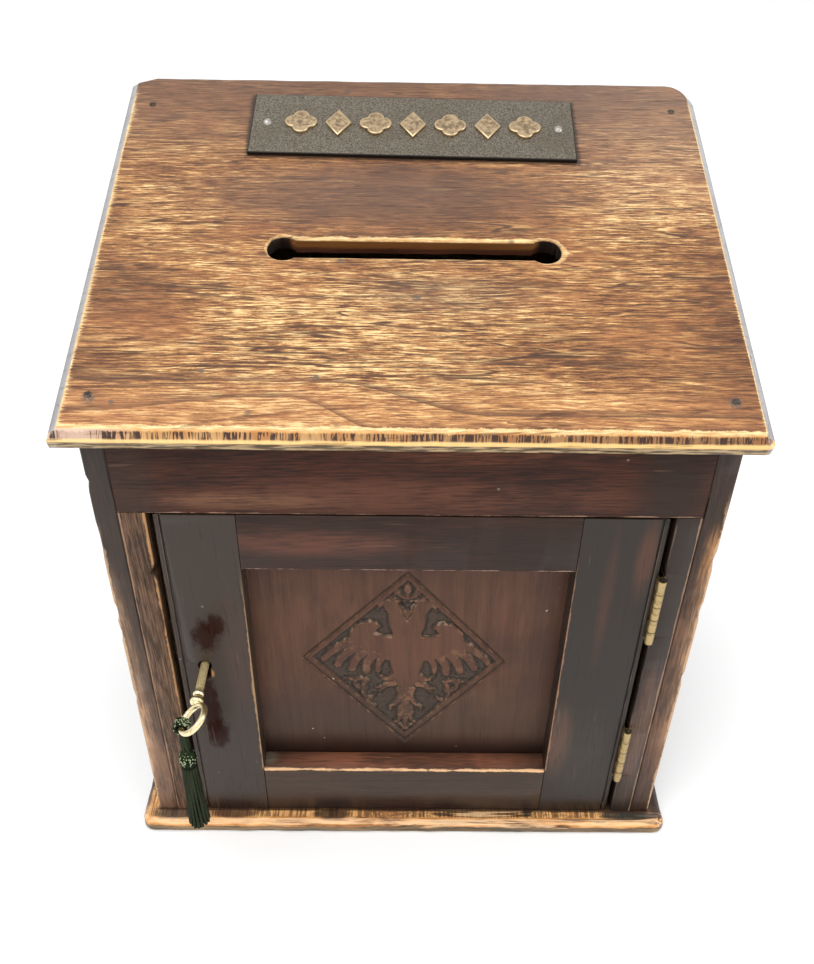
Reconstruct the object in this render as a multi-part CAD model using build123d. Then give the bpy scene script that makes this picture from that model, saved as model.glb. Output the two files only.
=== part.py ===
from build123d import *
import math
import os

# A desk letter box in stained oak, in millimetres.
#
# A carcass with a sloping, slotted top stands on a moulded base. Its door is a frame round a
# carved panel, hung on two brass butts and shut by a cut cupboard lock. The key is in the lock,
# with the bolt drawn, and a tassel hangs from its bow.
#
# +Z is up and the front faces -Y. The origin is the middle of the base's underside.

# ---- carcass ----
body_width = 260.0
body_depth = 187.0
side_thickness = 9.5
front_height = 239.6  # base to the underside of the top, at the front face
frame_thickness = 19.0  # front stiles and rail, front to back
lock_side_stile_width = 11.2
hinge_side_stile_width = 10.5
opening_height = 200.2  # base to the underside of the front rail
back_thickness = 6.0
back_rebate = 5.0  # how far the back board is let into each side
stop_width = 17.0
stop_depth = 8.0
block_leg = 14.0
block_length = 46.0
block_front_inset = 62.0
block_back_inset = 46.0

# ---- base ----
base_thickness = 8.0
base_overhang = 8.7
base_corner_radius = 7.0
base_top_round = 3.6
base_bottom_round = 2.2

# ---- sloping top ----
top_slope = 21.3  # degrees
top_thickness = 8.2
top_overhang = 8.5
chamfer_reach = 4.1
chamfer_drop = 3.9
back_right_radius = 15.0
back_left_clip_across = 12.0  # that corner is broken off
back_left_clip_along = 5.0
slot_width = 10.6
slot_end_radius = 7.1
slot_end_spacing = 112.8
slot_place = 95.6  # up the slope from the front arris
slot_shift = 0.7  # to the right of the middle
nail_inset_front = 15.5
nail_inset_back = 19.8
nail_head_radius = 1.5
nail_head_depth = 1.2
nail_shank_radius = 0.9
nail_length = 24.0

# ---- name plate ----
plate_length = 152.4
plate_height = 42.3
plate_thickness = 2.0
plate_corner_radius = 0.8
plate_place = 175.0  # its middle, up the slope
plate_turn = -1.0  # degrees, as it was pinned on
plate_pin_spacing = 137.4
plate_pin_radius = 2.2
plate_pin_dome = 1.5
plate_pin_shank_radius = 0.8
plate_pin_shank_length = 6.0
ornament_count = 7
ornament_spacing = 17.6
ornament_height = 18.6
ornament_width = 12.4
ornament_thickness = 1.4
petal_radius = 3.9
petal_offset = 3.7

# ---- door ----
door_thickness = 19.0
lock_gap = 2.9
hinge_gap = 2.5
door_top_gap = 0.8
door_bottom_gap = 1.0
lock_stile_width = 33.9
hinge_stile_width = 35.9
top_rail_width = 29.4
bottom_rail_width = 32.8
panel_recess = 11.5
panel_thickness = 5.0
panel_groove = 5.5
panel_slack = 0.5
tenon_length = 18.0
tenon_shoulder = 6.0
bead_width = 2.4
bead_round = 1.1
quirk_width = 0.8
quirk_depth = 1.0

# ---- carved lozenge ----
lozenge_width = 97.4
lozenge_height = 113.2
lozenge_raise = 1.8  # above the middle of the panel
lozenge_border = 4.2
lozenge_line = 1.1
lozenge_depth = 1.3

# ---- butt hinges ----
hinge_length = 38.1
upper_hinge_place = 157.0  # middle, above the base's underside
lower_hinge_place = 57.4
barrel_radius = 2.0
hinge_pin_radius = 1.0
leaf_thickness = 1.1
leaf_reach = 13.0
barrel_proud = 2.2  # pin axis in front of the door's face
knuckle_count = 6
knuckle_gap = 0.15
hinge_screw_count = 3
hinge_screw_head_radius = 1.9
hinge_screw_shank_radius = 0.9
hinge_screw_length = 8.0

# ---- lock ----
key_place = 118.2  # key's axis above the base's underside
backset = 12.1  # door's edge to the key's axis
lock_width = 26.0
lock_above = 27.0
lock_below = 19.0
lock_plate_thickness = 1.5
selvedge_thickness = 1.5
lock_depth = 10.6
pocket_side_inset = 1.6  # pocket inside the plate's outline, away from the door's edge
pocket_end_inset = 6.0  # and above and below, where the screws go
cap_thickness = 1.0
cap_setback = 0.5
post_radius = 1.25
bolt_thickness = 4.0
bolt_height = 10.2
bolt_drop = 2.8  # bolt's lower edge above the key's axis
bolt_length = 22.2
bolt_throw = 7.0
bolt_guide_rise = 7.4  # guide post above the bolt's lower edge
guide_post_shift = -1.2
spring_thickness = 0.5
spring_width = 3.0
spring_rise = 4.2
spring_half_span = 8.6
spring_gap = 0.25
drill_pin_radius = 1.1
lock_screw_head_radius = 2.2
lock_screw_shank_radius = 1.0
lock_screw_length = 7.5
keyhole_radius = 3.2
keyhole_slot_width = 5.0
keyhole_slot_drop = 9.0
strike_thickness = 0.9
strike_width = 9.6
strike_margin = 7.0  # beyond the bolt, at each end
mortise_depth = 6.4
mortise_room = 0.5
strike_screw_head_radius = 1.6
strike_screw_shank_radius = 0.8
strike_screw_length = 6.5

# ---- key ----
bow_radius = 7.0  # to the middle of the wire
bow_wire_radius = 1.5
bow_centre_out = 31.5  # in front of the door's face
bow_tilt = 40.0  # degrees, the bow's right side up
shank_radius = 1.9
collar_radius = 3.1
collar_length = 2.4
collar_out = 20.4
bead_ring_radius = 2.5
bead_ring_length = 1.2
bead_ring_out = 16.6
key_tip_gap = 0.4
barrel_bore_depth = 9.0
bit_reach = 7.0
bit_thickness = 2.2
bit_width = 5.6
bit_from_tip = 0.9
key_turn = 180.0 - 2 * bow_tilt

# ---- tassel ----
loop_radius = 3.8
loop_length = 5.6
loop_bore_radius = 2.45
loop_round = 1.4
neck_radius = 2.5
neck_length = 12.6  # below the loop
head_radius = 4.3
head_height = 11.5
head_round = 3.2
skirt_length = 44.5
skirt_top_radius = 3.7
skirt_bottom_radius = 5.5
skirt_cords = 8

# ---- fasteners out of sight ----
base_screw_head_radius = 3.4
base_screw_shank_radius = 1.6
base_screw_length = 26.0
base_screw_sink = 0.6
base_screw_inset = 26.0
back_pin_head_radius = 1.3
back_pin_head_depth = 0.6
back_pin_shank_radius = 0.6
back_pin_length = 16.0
back_pins_per_side = 4
back_pin_inset = 22.0
slot_cut_width = 0.5
slot_cut_depth = 0.5

# ---- clearances ----
fastener_clearance = 0.05
running_clearance = 0.08
sliding_clearance = 0.12
soft_clearance = 0.3
stop_clearance = 0.3
bit_clearance = 0.3
cut_past = 1.0  # how far a cut runs on past a face

# ---- places that follow from the sizes ----
half_width = body_width / 2
front = -body_depth / 2
back = body_depth / 2
floor = base_thickness
inner_half_width = half_width - side_thickness
opening_left = -inner_half_width + lock_side_stile_width
opening_right = inner_half_width - hinge_side_stile_width
opening_top = floor + opening_height
front_top = floor + front_height
block_places = (front + block_front_inset, back - block_back_inset)

slope = math.radians(top_slope)
outer_half_top = half_width + top_overhang
arris_y = front - top_overhang + chamfer_reach * math.cos(slope) - chamfer_drop * math.sin(slope)
rise_to_front = (front - arris_y - top_thickness * math.sin(slope)) / math.cos(slope)
arris_z = front_top - rise_to_front * math.sin(slope) + top_thickness * math.cos(slope)
top_length = (body_depth + 2 * top_overhang) / math.cos(slope) - 2 * chamfer_reach
top_frame = Location((0, arris_y, arris_z), (top_slope, 0, 0))

door_left = opening_left + lock_gap
door_right = opening_right - hinge_gap
door_low = floor + door_bottom_gap
door_high = opening_top - door_top_gap
door_back = front + door_thickness
panel_left = door_left + lock_stile_width
panel_right = door_right - hinge_stile_width
panel_low = door_low + bottom_rail_width
panel_high = door_high - top_rail_width
panel_front = front + panel_recess
panel_back = panel_front + panel_thickness
panel_middle = ((panel_left + panel_right) / 2, (panel_low + panel_high) / 2)

hinge_x = door_right + hinge_gap / 2
hinge_y = front - barrel_proud
leaf_recess = barrel_radius - hinge_gap / 2

key_x = door_left + backset
key_z = key_place
plate_back = door_back
plate_front = plate_back - lock_plate_thickness
works_front = plate_back - lock_depth
cap_front = works_front + cap_setback
cap_back = cap_front + cap_thickness
bolt_middle_y = (cap_back + plate_front) / 2
bolt_low = key_z + bolt_drop
bolt_high = bolt_low + bolt_height
guide_x = key_x + guide_post_shift
guide_z = bolt_low + bolt_guide_rise
pocket_right = door_left + lock_width - pocket_side_inset
pocket_low = key_z - lock_below + pocket_end_inset
pocket_high = key_z + lock_above - pocket_end_inset
key_tip_y = plate_front - key_tip_gap
bow_y = front - bow_centre_out
tilt = math.radians(bow_tilt)
loop_x = key_x - bow_radius * math.cos(tilt)
loop_z = key_z - bow_radius * math.sin(tilt)
lock_top = key_z + lock_above
lock_bottom = key_z - lock_below
above_all = body_width + body_depth


def block(x0, x1, y0, y1, z0, z1):
    """A box given by its faces along each axis."""
    middle = Pos((x0 + x1) / 2, (y0 + y1) / 2, (z0 + z1) / 2)
    return middle * Box(x1 - x0, y1 - y0, z1 - z0)


def rod(start, direction, radius, length):
    """A round bar that starts at a point and runs along a direction."""
    return Plane(origin=start, z_dir=direction) * extrude(Circle(radius), amount=length)


def headed(start, outward, head_radius, cone, shank_radius, length, gap=0.0, cut=0.0):
    """A screw or nail whose head is flush at a point; with a gap it is the hole it sits in."""
    outline = Polyline(
        (0, 0),
        (head_radius + gap, 0),
        (shank_radius + gap, -cone),
        (shank_radius + gap, -length + shank_radius),
        (0, -length - gap),
        close=True,
    )
    body = revolve(Plane.XZ * make_face(outline), axis=Axis.Z)
    if cut:
        body -= Pos(0, 0, -cut / 2) * Box(3 * head_radius, slot_cut_width, cut)
    return Plane(origin=start, z_dir=outward) * body


def joined(shapes):
    """Separate solids kept together in one node."""
    return Compound(children=[solid for shape in shapes for solid in shape.solids()])


def below_top(solid):
    """What is left of a piece under the sloping board."""
    size = 4 * above_all
    above = Pos(0, 0, -top_thickness + size / 2) * Box(size, size, size)
    return solid - top_frame * above


# ---- fasteners, each with the hole that it sits in ----

def top_nails_at(gap=0.0):
    """Nails down through the sloping board into the side boards."""
    shapes = []
    for x in (-half_width + side_thickness / 2, half_width - side_thickness / 2):
        for place in (nail_inset_front, top_length - nail_inset_back):
            nail = headed((x, place, 0), (0, 0, 1), nail_head_radius, nail_head_depth,
                          nail_shank_radius, nail_length, gap)
            shapes.append(top_frame * nail)
    return shapes


def base_screws_at(gap=0.0):
    """Screws up through the base into the side boards."""
    shapes = []
    for x in (-half_width + side_thickness / 2, half_width - side_thickness / 2):
        for y in (front + base_screw_inset, 0, back - base_screw_inset):
            cone = base_screw_head_radius - base_screw_shank_radius
            cut = 0 if gap else slot_cut_depth
            shapes.append(headed((x, y, base_screw_sink), (0, 0, -1), base_screw_head_radius, cone,
                                 base_screw_shank_radius, base_screw_length, gap, cut))
    return shapes


def back_pins_at(gap=0.0):
    """Panel pins through the back board into the rebates of the sides."""
    shapes = []
    reach = top_height_at(back) - floor - 2 * back_pin_inset
    for x in (-inner_half_width - back_rebate / 2, inner_half_width + back_rebate / 2):
        for i in range(back_pins_per_side):
            z = floor + back_pin_inset + reach * i / (back_pins_per_side - 1)
            shapes.append(headed((x, back, z), (0, 1, 0), back_pin_head_radius, back_pin_head_depth,
                                 back_pin_shank_radius, back_pin_length, gap))
    return shapes


def top_height_at(y):
    """Height of the sloping board's underside over a place along Y."""
    return front_top + (y - front) * math.tan(slope)


def hinge_screws_at(side, gap=0.0):
    """Screws through a hinge's leaves: side is -1 into the door, 1 into the carcass."""
    shapes = []
    face_x = hinge_x + side * (barrel_radius - leaf_thickness)
    for middle in (upper_hinge_place, lower_hinge_place):
        for i in range(hinge_screw_count):
            step = i - (hinge_screw_count - 1) / 2
            z = middle + step * hinge_length / hinge_screw_count
            start = (face_x, front + leaf_reach / 2, z)
            cone = hinge_screw_head_radius - hinge_screw_shank_radius
            cut = 0 if gap else slot_cut_depth
            shapes.append(headed(start, (-side, 0, 0), hinge_screw_head_radius, cone,
                                 hinge_screw_shank_radius, hinge_screw_length, gap, cut))
    return shapes


def lock_screws_at(gap=0.0):
    """Screws through the lock's plate into the door's lock stile."""
    shapes = []
    for x in (door_left + selvedge_thickness + lock_screw_head_radius,
              door_left + lock_width - pocket_side_inset - lock_screw_head_radius):
        for z in ((lock_bottom + pocket_low) / 2, (lock_top + pocket_high) / 2):
            cone = lock_screw_head_radius - lock_screw_shank_radius
            cut = 0 if gap else slot_cut_depth
            shapes.append(headed((x, plate_back, z), (0, 1, 0), lock_screw_head_radius, cone,
                                 lock_screw_shank_radius, lock_screw_length, gap, cut))
    return shapes


def strike_screws_at(gap=0.0):
    """Screws through the strike plate into the carcass stile."""
    shapes = []
    for z in (bolt_low - strike_margin / 2, bolt_high + strike_margin / 2):
        cone = strike_screw_head_radius - strike_screw_shank_radius
        cut = 0 if gap else slot_cut_depth
        shapes.append(headed((opening_left, bolt_middle_y, z), (1, 0, 0), strike_screw_head_radius,
                             cone, strike_screw_shank_radius, strike_screw_length, gap, cut))
    return shapes


def cut_all(solid, holes):
    """A piece with a list of holes taken out."""
    for hole in holes:
        solid -= hole
    return solid


# ---- carcass ----

def base_board():
    """One board with rounded corners, its edge rounded above and below."""
    outline = RectangleRounded(body_width + 2 * base_overhang, body_depth + 2 * base_overhang,
                               base_corner_radius)
    board = extrude(outline, amount=base_thickness)
    board = fillet(board.faces().sort_by(Axis.Z)[-1].edges(), base_top_round)
    board = fillet(board.faces().sort_by(Axis.Z)[0].edges(), base_bottom_round)
    sunk = [rod((s.center().X, s.center().Y, 0), (0, 0, 1), base_screw_head_radius
                + fastener_clearance, base_screw_sink) for s in base_screws_at()]
    return cut_all(board, base_screws_at(fastener_clearance) + sunk)


def side_board(side):
    """A side: side is -1 on the left, 1 on the right. The back board sits in its rebate."""
    x0, x1 = sorted((side * inner_half_width, side * half_width))
    board = below_top(block(x0, x1, front, back, floor, above_all))
    r0, r1 = sorted((side * inner_half_width, side * (inner_half_width + back_rebate)))
    board -= block(r0, r1, back - back_thickness, back, floor, above_all)
    holes = top_nails_at(fastener_clearance) + base_screws_at(fastener_clearance)
    return cut_all(board, holes + back_pins_at(fastener_clearance))


def back_board():
    """A thin board in the rebates of the sides."""
    reach = inner_half_width + back_rebate
    board = below_top(block(-reach, reach, back - back_thickness, back, floor, above_all))
    return cut_all(board, back_pins_at(fastener_clearance))


def front_rail():
    """The rail over the door, between the sides, its upper edge planed to the slope."""
    return below_top(block(-inner_half_width, inner_half_width, front, front + frame_thickness,
                           opening_top, above_all))


def lock_side_stile():
    """The narrow stile that the bolt shoots into."""
    stile = block(-inner_half_width, opening_left, front, front + frame_thickness,
                  floor, opening_top)
    stile -= strike_outline()
    stile -= bolt_room(opening_left - mortise_depth, opening_left)
    return cut_all(stile, strike_screws_at(fastener_clearance))


def hinge_side_stile():
    """The narrow stile that the door is hung on, with a recess for each leaf."""
    stile = block(opening_right, inner_half_width, front, front + frame_thickness,
                  floor, opening_top)
    for middle in (upper_hinge_place, lower_hinge_place):
        stile -= block(opening_right, opening_right + leaf_recess, front, front + leaf_reach,
                       middle - hinge_length / 2, middle + hinge_length / 2)
    return cut_all(stile, hinge_screws_at(1, fastener_clearance))


def door_stop():
    """A strip glued behind the lock side's stile, which the door closes on."""
    start = front + frame_thickness
    stop = block(-inner_half_width, -inner_half_width + stop_width, start, start + stop_depth,
                 floor, opening_top)
    stop -= block(opening_left, half_width, start, start + stop_clearance, floor, opening_top)
    return stop


def glue_block(side, y, z, lean):
    """A three-cornered block, its right angle in the corner of a side; lean follows the slope."""
    triangle = make_face(Polyline((0, 0), (block_leg, 0), (0, -block_leg), close=True))
    prism = extrude(Plane.XZ * triangle, amount=block_length / 2, both=True)
    if side > 0:
        prism = mirror(prism, Plane.YZ)
    return Location((side * inner_half_width, y, z), (lean, 0, 0)) * prism


def top_glue_blocks():
    """Blocks in the corners between the sides and the top."""
    return joined([glue_block(side, y, top_height_at(y), top_slope)
                   for side in (-1, 1) for y in block_places])


def base_glue_blocks():
    """Blocks in the corners between the sides and the base."""
    return joined([Pos(0, 0, floor) * mirror(glue_block(side, y, 0, 0), Plane.XY)
                   for side in (-1, 1) for y in block_places])


def slot_shape(height):
    """The letter slot in the board's own plane: a straight run between two drilled ends."""
    slot = Rectangle(slot_end_spacing, slot_width)
    for x in (-slot_end_spacing / 2, slot_end_spacing / 2):
        slot += Pos(x, 0) * Circle(slot_end_radius)
    return Pos(slot_shift, slot_place, -height / 2) * extrude(slot, amount=height)


def top_board():
    """The sloping top, chamfered all round above, with the slot cut through it."""
    low, high = -chamfer_reach, top_length + chamfer_reach
    outline = Polyline(
        (-outer_half_top, low),
        (outer_half_top, low),
        (outer_half_top, high),
        (-outer_half_top + back_left_clip_across, high),
        (-outer_half_top, high - back_left_clip_along),
        close=True,
    )
    board = extrude(make_face(outline), amount=-top_thickness)
    back_right = board.edges().filter_by(Axis.Z).sort_by(lambda e: e.center().X + e.center().Y)[-1]
    board = fillet(back_right, back_right_radius)
    rim = board.faces().sort_by(Axis.Z)[-1].edges()
    board = chamfer(rim, chamfer_reach, chamfer_drop, reference=board.faces().sort_by(Axis.Z)[-1])
    board -= slot_shape(4 * top_thickness)
    board = top_frame * board
    holes = top_nails_at(fastener_clearance) + plate_pins_at(fastener_clearance)
    return cut_all(board, holes)


def plate_frame():
    """Where the name plate's underside lies on the sloping board."""
    return top_frame * Location((0, plate_place, 0), (0, 0, plate_turn))


def plate_pins_at(gap=0.0):
    """Domed pins at the ends of the plate; with a gap, the holes for their shanks."""
    shapes = []
    for x in (-plate_pin_spacing / 2, plate_pin_spacing / 2):
        depth = plate_thickness + plate_pin_shank_length + gap
        pin = rod((x, 0, plate_thickness), (0, 0, -1), plate_pin_shank_radius + gap, depth)
        if not gap:
            ball_radius = (plate_pin_radius ** 2 + plate_pin_dome ** 2) / (2 * plate_pin_dome)
            dome = Pos(x, 0, plate_thickness + plate_pin_dome - ball_radius) * Sphere(ball_radius)
            room = Pos(x, 0, plate_thickness + ball_radius) * Box(
                4 * ball_radius, 4 * ball_radius, 2 * ball_radius)
            pin += dome & room
        shapes.append(plate_frame() * pin)
    return shapes


def name_plate():
    """A thin bronze plate on the sloping board, a little out of square."""
    plate = extrude(RectangleRounded(plate_length, plate_height, plate_corner_radius),
                    amount=plate_thickness)
    return cut_all(plate_frame() * plate, plate_pins_at(fastener_clearance))


def name_plate_ornaments():
    """Raised brass pieces in a row on the plate, rosettes and lozenges by turns."""
    shapes = []
    for i in range(ornament_count):
        x = (i - (ornament_count - 1) / 2) * ornament_spacing
        if i % 2:
            half_w, half_h = ornament_width / 2, ornament_height / 2
            face = make_face(Polyline((half_w, 0), (0, half_h), (-half_w, 0), (0, -half_h),
                                      close=True))
        else:
            face = Circle(petal_offset)
            for turn in range(4):
                angle = math.radians(90 * turn)
                across = petal_offset * math.cos(angle)
                along = petal_offset * math.sin(angle)
                face += Pos(across, along) * Circle(petal_radius)
        raised = Pos(x, 0, plate_thickness) * extrude(face, amount=ornament_thickness)
        shapes.append(plate_frame() * raised)
    return joined(shapes)


# ---- door ----

def door_stile(side):
    """A full-height stile with a bead on its outer edge and a groove for the panel."""
    x0, x1 = (door_left, panel_left) if side < 0 else (panel_right, door_right)
    outer = x0 if side < 0 else x1
    stile = block(x0, x1, front, door_back, door_low, door_high)
    edges = stile.edges().filter_by(Axis.Z).group_by(Axis.Y)[0]
    stile = fillet(edges.sort_by(Axis.X)[0 if side < 0 else -1], bead_round)
    q0, q1 = sorted((outer - side * bead_width, outer - side * (bead_width + quirk_width)))
    stile -= block(q0, q1, front, front + quirk_depth, door_low, door_high)
    inner = panel_left if side < 0 else panel_right
    g0, g1 = sorted((inner, inner + side * panel_groove))
    stile -= block(g0, g1, panel_front, panel_back, panel_low - panel_groove,
                   panel_high + panel_groove)
    m0, m1 = sorted((inner, inner + side * tenon_length))
    for z0, z1 in (tenon_span(-1), tenon_span(1)):
        stile -= block(m0, m1, panel_front, panel_back, z0, z1)
    return stile


def tenon_span(end):
    """Lower and upper edge of the tenons: end is -1 on the bottom rail, 1 on the top rail."""
    if end < 0:
        return door_low + tenon_shoulder, panel_low - panel_groove
    return panel_high + panel_groove, door_high - tenon_shoulder


def door_rail(end):
    """A rail between the stiles, tenoned into both and grooved for the panel."""
    z0, z1 = (door_low, panel_low) if end < 0 else (panel_high, door_high)
    rail = block(panel_left, panel_right, front, door_back, z0, z1)
    if end < 0:
        groove = (panel_low - panel_groove, panel_low)
    else:
        groove = (panel_high, panel_high + panel_groove)
    rail -= block(panel_left, panel_right, panel_front, panel_back, *groove)
    rail += block(panel_left - tenon_length, panel_right + tenon_length, panel_front, panel_back,
                  *tenon_span(end))
    return rail


def door_lock_stile():
    """The stile that holds the lock: pocketed from behind, with the keyhole in front."""
    stile = door_stile(-1)
    stile -= lock_plate_outline()
    stile -= block(door_left, pocket_right, works_front, plate_front, pocket_low, pocket_high)
    stile -= keyhole(front - cut_past, works_front + cut_past)
    return cut_all(stile, lock_screws_at(fastener_clearance))


def door_hinge_stile():
    """The stile that carries the door's hinge leaves."""
    stile = door_stile(1)
    for middle in (upper_hinge_place, lower_hinge_place):
        stile -= block(door_right - leaf_recess, door_right, front, front + leaf_reach,
                       middle - hinge_length / 2, middle + hinge_length / 2)
    return cut_all(stile, hinge_screws_at(-1, fastener_clearance))


def lozenge(inset):
    """The lozenge's outline on the panel, drawn in by an amount square to its sides."""
    half_w, half_h = lozenge_width / 2, lozenge_height / 2
    shrink = inset * math.hypot(half_w, half_h) / (half_w * half_h)
    half_w, half_h = half_w * (1 - shrink), half_h * (1 - shrink)
    return make_face(Polyline((half_w, 0), (0, half_h), (-half_w, 0), (0, -half_h), close=True))


def door_panel():
    """A panel held in the frame's grooves, with a sunk lozenge field inside a cut line."""
    fit = panel_groove - panel_slack
    panel = block(panel_left - fit, panel_right + fit, panel_front, panel_back, panel_low - fit,
                  panel_high + fit)
    line = lozenge(0) - lozenge(lozenge_line)
    field = lozenge(lozenge_border)
    seat = Plane(origin=(panel_middle[0], panel_front, panel_middle[1] + lozenge_raise),
                 x_dir=(1, 0, 0), z_dir=(0, 1, 0))
    for face in (line, field):
        panel -= seat * extrude(face, amount=lozenge_depth)
    return panel


# ---- hinges ----

def knuckle_spans(middle, side):
    """The stretches of barrel that belong to one leaf, from the bottom up."""
    pitch = hinge_length / knuckle_count
    first = 0 if side > 0 else 1
    spans = []
    for i in range(first, knuckle_count, 2):
        z0 = middle - hinge_length / 2 + i * pitch
        spans.append((z0 + knuckle_gap / 2, z0 + pitch - knuckle_gap / 2))
    return spans


def hinge_leaf(middle, side):
    """A leaf and its knuckles: side is -1 on the door, 1 on the carcass."""
    x0, x1 = sorted((hinge_x + side * (barrel_radius - leaf_thickness),
                     hinge_x + side * barrel_radius))
    leaf = block(x0, x1, front, front + leaf_reach, middle - hinge_length / 2,
                 middle + hinge_length / 2)
    for z0, z1 in knuckle_spans(middle, side):
        leaf += rod((hinge_x, hinge_y, z0), (0, 0, 1), barrel_radius, z1 - z0)
        leaf += block(x0, x1, hinge_y, front, z0, z1)
    leaf -= rod((hinge_x, hinge_y, middle - hinge_length), (0, 0, 1),
                hinge_pin_radius + running_clearance, 2 * hinge_length)
    return cut_all(leaf, hinge_screws_at(side, fastener_clearance))


def hinge_pin(middle):
    """The pin through all the knuckles of a hinge."""
    return rod((hinge_x, hinge_y, middle - hinge_length / 2), (0, 0, 1), hinge_pin_radius,
               hinge_length)


# ---- lock ----

def keyhole(y0, y1):
    """The keyhole's round and slot, through anything from y0 to y1."""
    hole = rod((key_x, y0, key_z), (0, 1, 0), keyhole_radius, y1 - y0)
    half = keyhole_slot_width / 2
    low = key_z - keyhole_slot_drop + half
    hole += block(key_x - half, key_x + half, y0, y1, low, key_z)
    hole += rod((key_x, y0, low), (0, 1, 0), half, y1 - y0)
    return hole


def lock_plate_outline():
    """The space of the lock's plate and of its selvedge on the door's edge."""
    plate = block(door_left, door_left + lock_width, plate_front, plate_back, lock_bottom,
                  lock_top)
    return plate + block(door_left, door_left + selvedge_thickness, works_front, plate_front,
                         lock_bottom, lock_top)


def bolt_room(x0, x1):
    """A passage for the bolt with room round it."""
    half = bolt_thickness / 2 + mortise_room
    return block(x0, x1, bolt_middle_y - half, bolt_middle_y + half, bolt_low - mortise_room,
                 bolt_high + mortise_room)


def lock_plate():
    """A brass plate flush with the door's back, with its selvedge and the bolt's window."""
    plate = lock_plate_outline()
    half = bolt_thickness / 2 + sliding_clearance
    plate -= block(door_left, door_left + selvedge_thickness, bolt_middle_y - half,
                   bolt_middle_y + half, bolt_low - sliding_clearance,
                   bolt_high + sliding_clearance)
    return cut_all(plate, lock_screws_at(fastener_clearance))


def post_places():
    """Where the posts that hold the cap stand: the first one also guides the bolt."""
    right = pocket_right - 2 * post_radius
    left = door_left + selvedge_thickness + 2 * post_radius
    low = pocket_low + 2 * post_radius
    return [(guide_x, guide_z), (left, low), (right, low)]


def lock_posts():
    """Posts riveted to the plate, which the cap is fixed on."""
    return joined([rod((x, cap_back, z), (0, 1, 0), post_radius, plate_front - cap_back)
                   for x, z in post_places()])


def lock_cap():
    """The thin cap over the works, towards the keyhole."""
    cap = block(door_left + selvedge_thickness, pocket_right - cap_setback, cap_front, cap_back,
                pocket_low + cap_setback, pocket_high - cap_setback)
    return cap - keyhole(cap_front - cut_past, cap_back + cut_past)


def lock_bolt():
    """The bolt, drawn: its talon notch stands over the key, its slot rides on the guide post."""
    half = bolt_thickness / 2
    bolt = block(door_left, door_left + bolt_length, bolt_middle_y - half, bolt_middle_y + half,
                 bolt_low, bolt_high)
    bit_side = bit_reach * math.cos(tilt) + bit_thickness / 2 * math.sin(tilt) + bit_clearance
    bolt -= block(key_x - bit_side + bolt_throw, key_x + bit_side, bolt_middle_y - bolt_thickness,
                  bolt_middle_y + bolt_thickness, bolt_low,
                  key_z + math.hypot(bit_reach, bit_thickness / 2) + bit_clearance)
    room = post_radius + sliding_clearance
    slot = block(guide_x, guide_x + bolt_throw, bolt_middle_y - bolt_thickness,
                 bolt_middle_y + bolt_thickness, guide_z - room, guide_z + room)
    for x in (guide_x, guide_x + bolt_throw):
        slot += rod((x, bolt_middle_y - bolt_thickness, guide_z), (0, 1, 0), room,
                    2 * bolt_thickness)
    return bolt - slot


def lock_spring():
    """A bowed strip over the bolt, its two ends in a foot and against the selvedge."""
    low = bolt_high + spring_gap
    middle = key_x
    inner = ThreePointArc((middle - spring_half_span, low + spring_rise), (middle, low),
                          (middle + spring_half_span, low + spring_rise))
    strip = trace(inner, spring_thickness)
    strip = Pos(0, spring_thickness) * strip
    bow = extrude(Plane.XZ * strip, amount=spring_width / 2, both=True)
    foot_x = middle + spring_half_span
    foot = rod((foot_x, -spring_width / 2, low + spring_rise + spring_thickness), (0, 1, 0),
               post_radius, plate_front - bolt_middle_y + spring_width / 2)
    return Pos(0, bolt_middle_y, 0) * (bow + foot)


def drill_pin():
    """The pin that the key's hollow end goes over, riveted to the plate."""
    length = key_tip_gap + barrel_bore_depth - 2 * running_clearance
    return rod((key_x, plate_front, key_z), (0, -1, 0), drill_pin_radius, length)


def strike_outline():
    """The space of the strike plate, let into the carcass stile."""
    return block(opening_left - strike_thickness, opening_left, bolt_middle_y - strike_width / 2,
                 bolt_middle_y + strike_width / 2, bolt_low - strike_margin,
                 bolt_high + strike_margin)


def strike_plate():
    """A small brass plate with a window for the bolt."""
    plate = strike_outline() - bolt_room(opening_left - mortise_depth, opening_left)
    return cut_all(plate, strike_screws_at(fastener_clearance))


# ---- key and tassel ----

def door_key():
    """A pipe key in one piece: oval bow of round wire, collar, shank, hollow end and bit."""
    shank = rod((0, key_tip_y, 0), (0, -1, 0), shank_radius, key_tip_y - bow_y - bow_radius)
    shank += rod((0, front - collar_out, 0), (0, -1, 0), collar_radius, collar_length)
    shank += rod((0, front - bead_ring_out, 0), (0, -1, 0), bead_ring_radius, bead_ring_length)
    key = shank + Pos(0, bow_y, 0) * Torus(bow_radius, bow_wire_radius)
    bit_back = key_tip_y - bit_from_tip
    key += block(0, bit_reach, bit_back - bit_width, bit_back, -bit_thickness / 2,
                 bit_thickness / 2)
    key -= rod((0, key_tip_y, 0), (0, -1, 0), drill_pin_radius + running_clearance,
               barrel_bore_depth)
    return Pos(key_x, 0, key_z) * (Rot(0, -bow_tilt, 0) * key)


def tassel_loop():
    """The knot that ties the tassel round the bow's wire."""
    bead = rod((0, -loop_length / 2, 0), (0, 1, 0), loop_radius, loop_length)
    bead = fillet(bead.edges(), loop_round)
    bead -= rod((0, -loop_length, 0), (0, 1, 0), loop_bore_radius, 2 * loop_length)
    return Pos(loop_x, bow_y, loop_z) * bead


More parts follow.
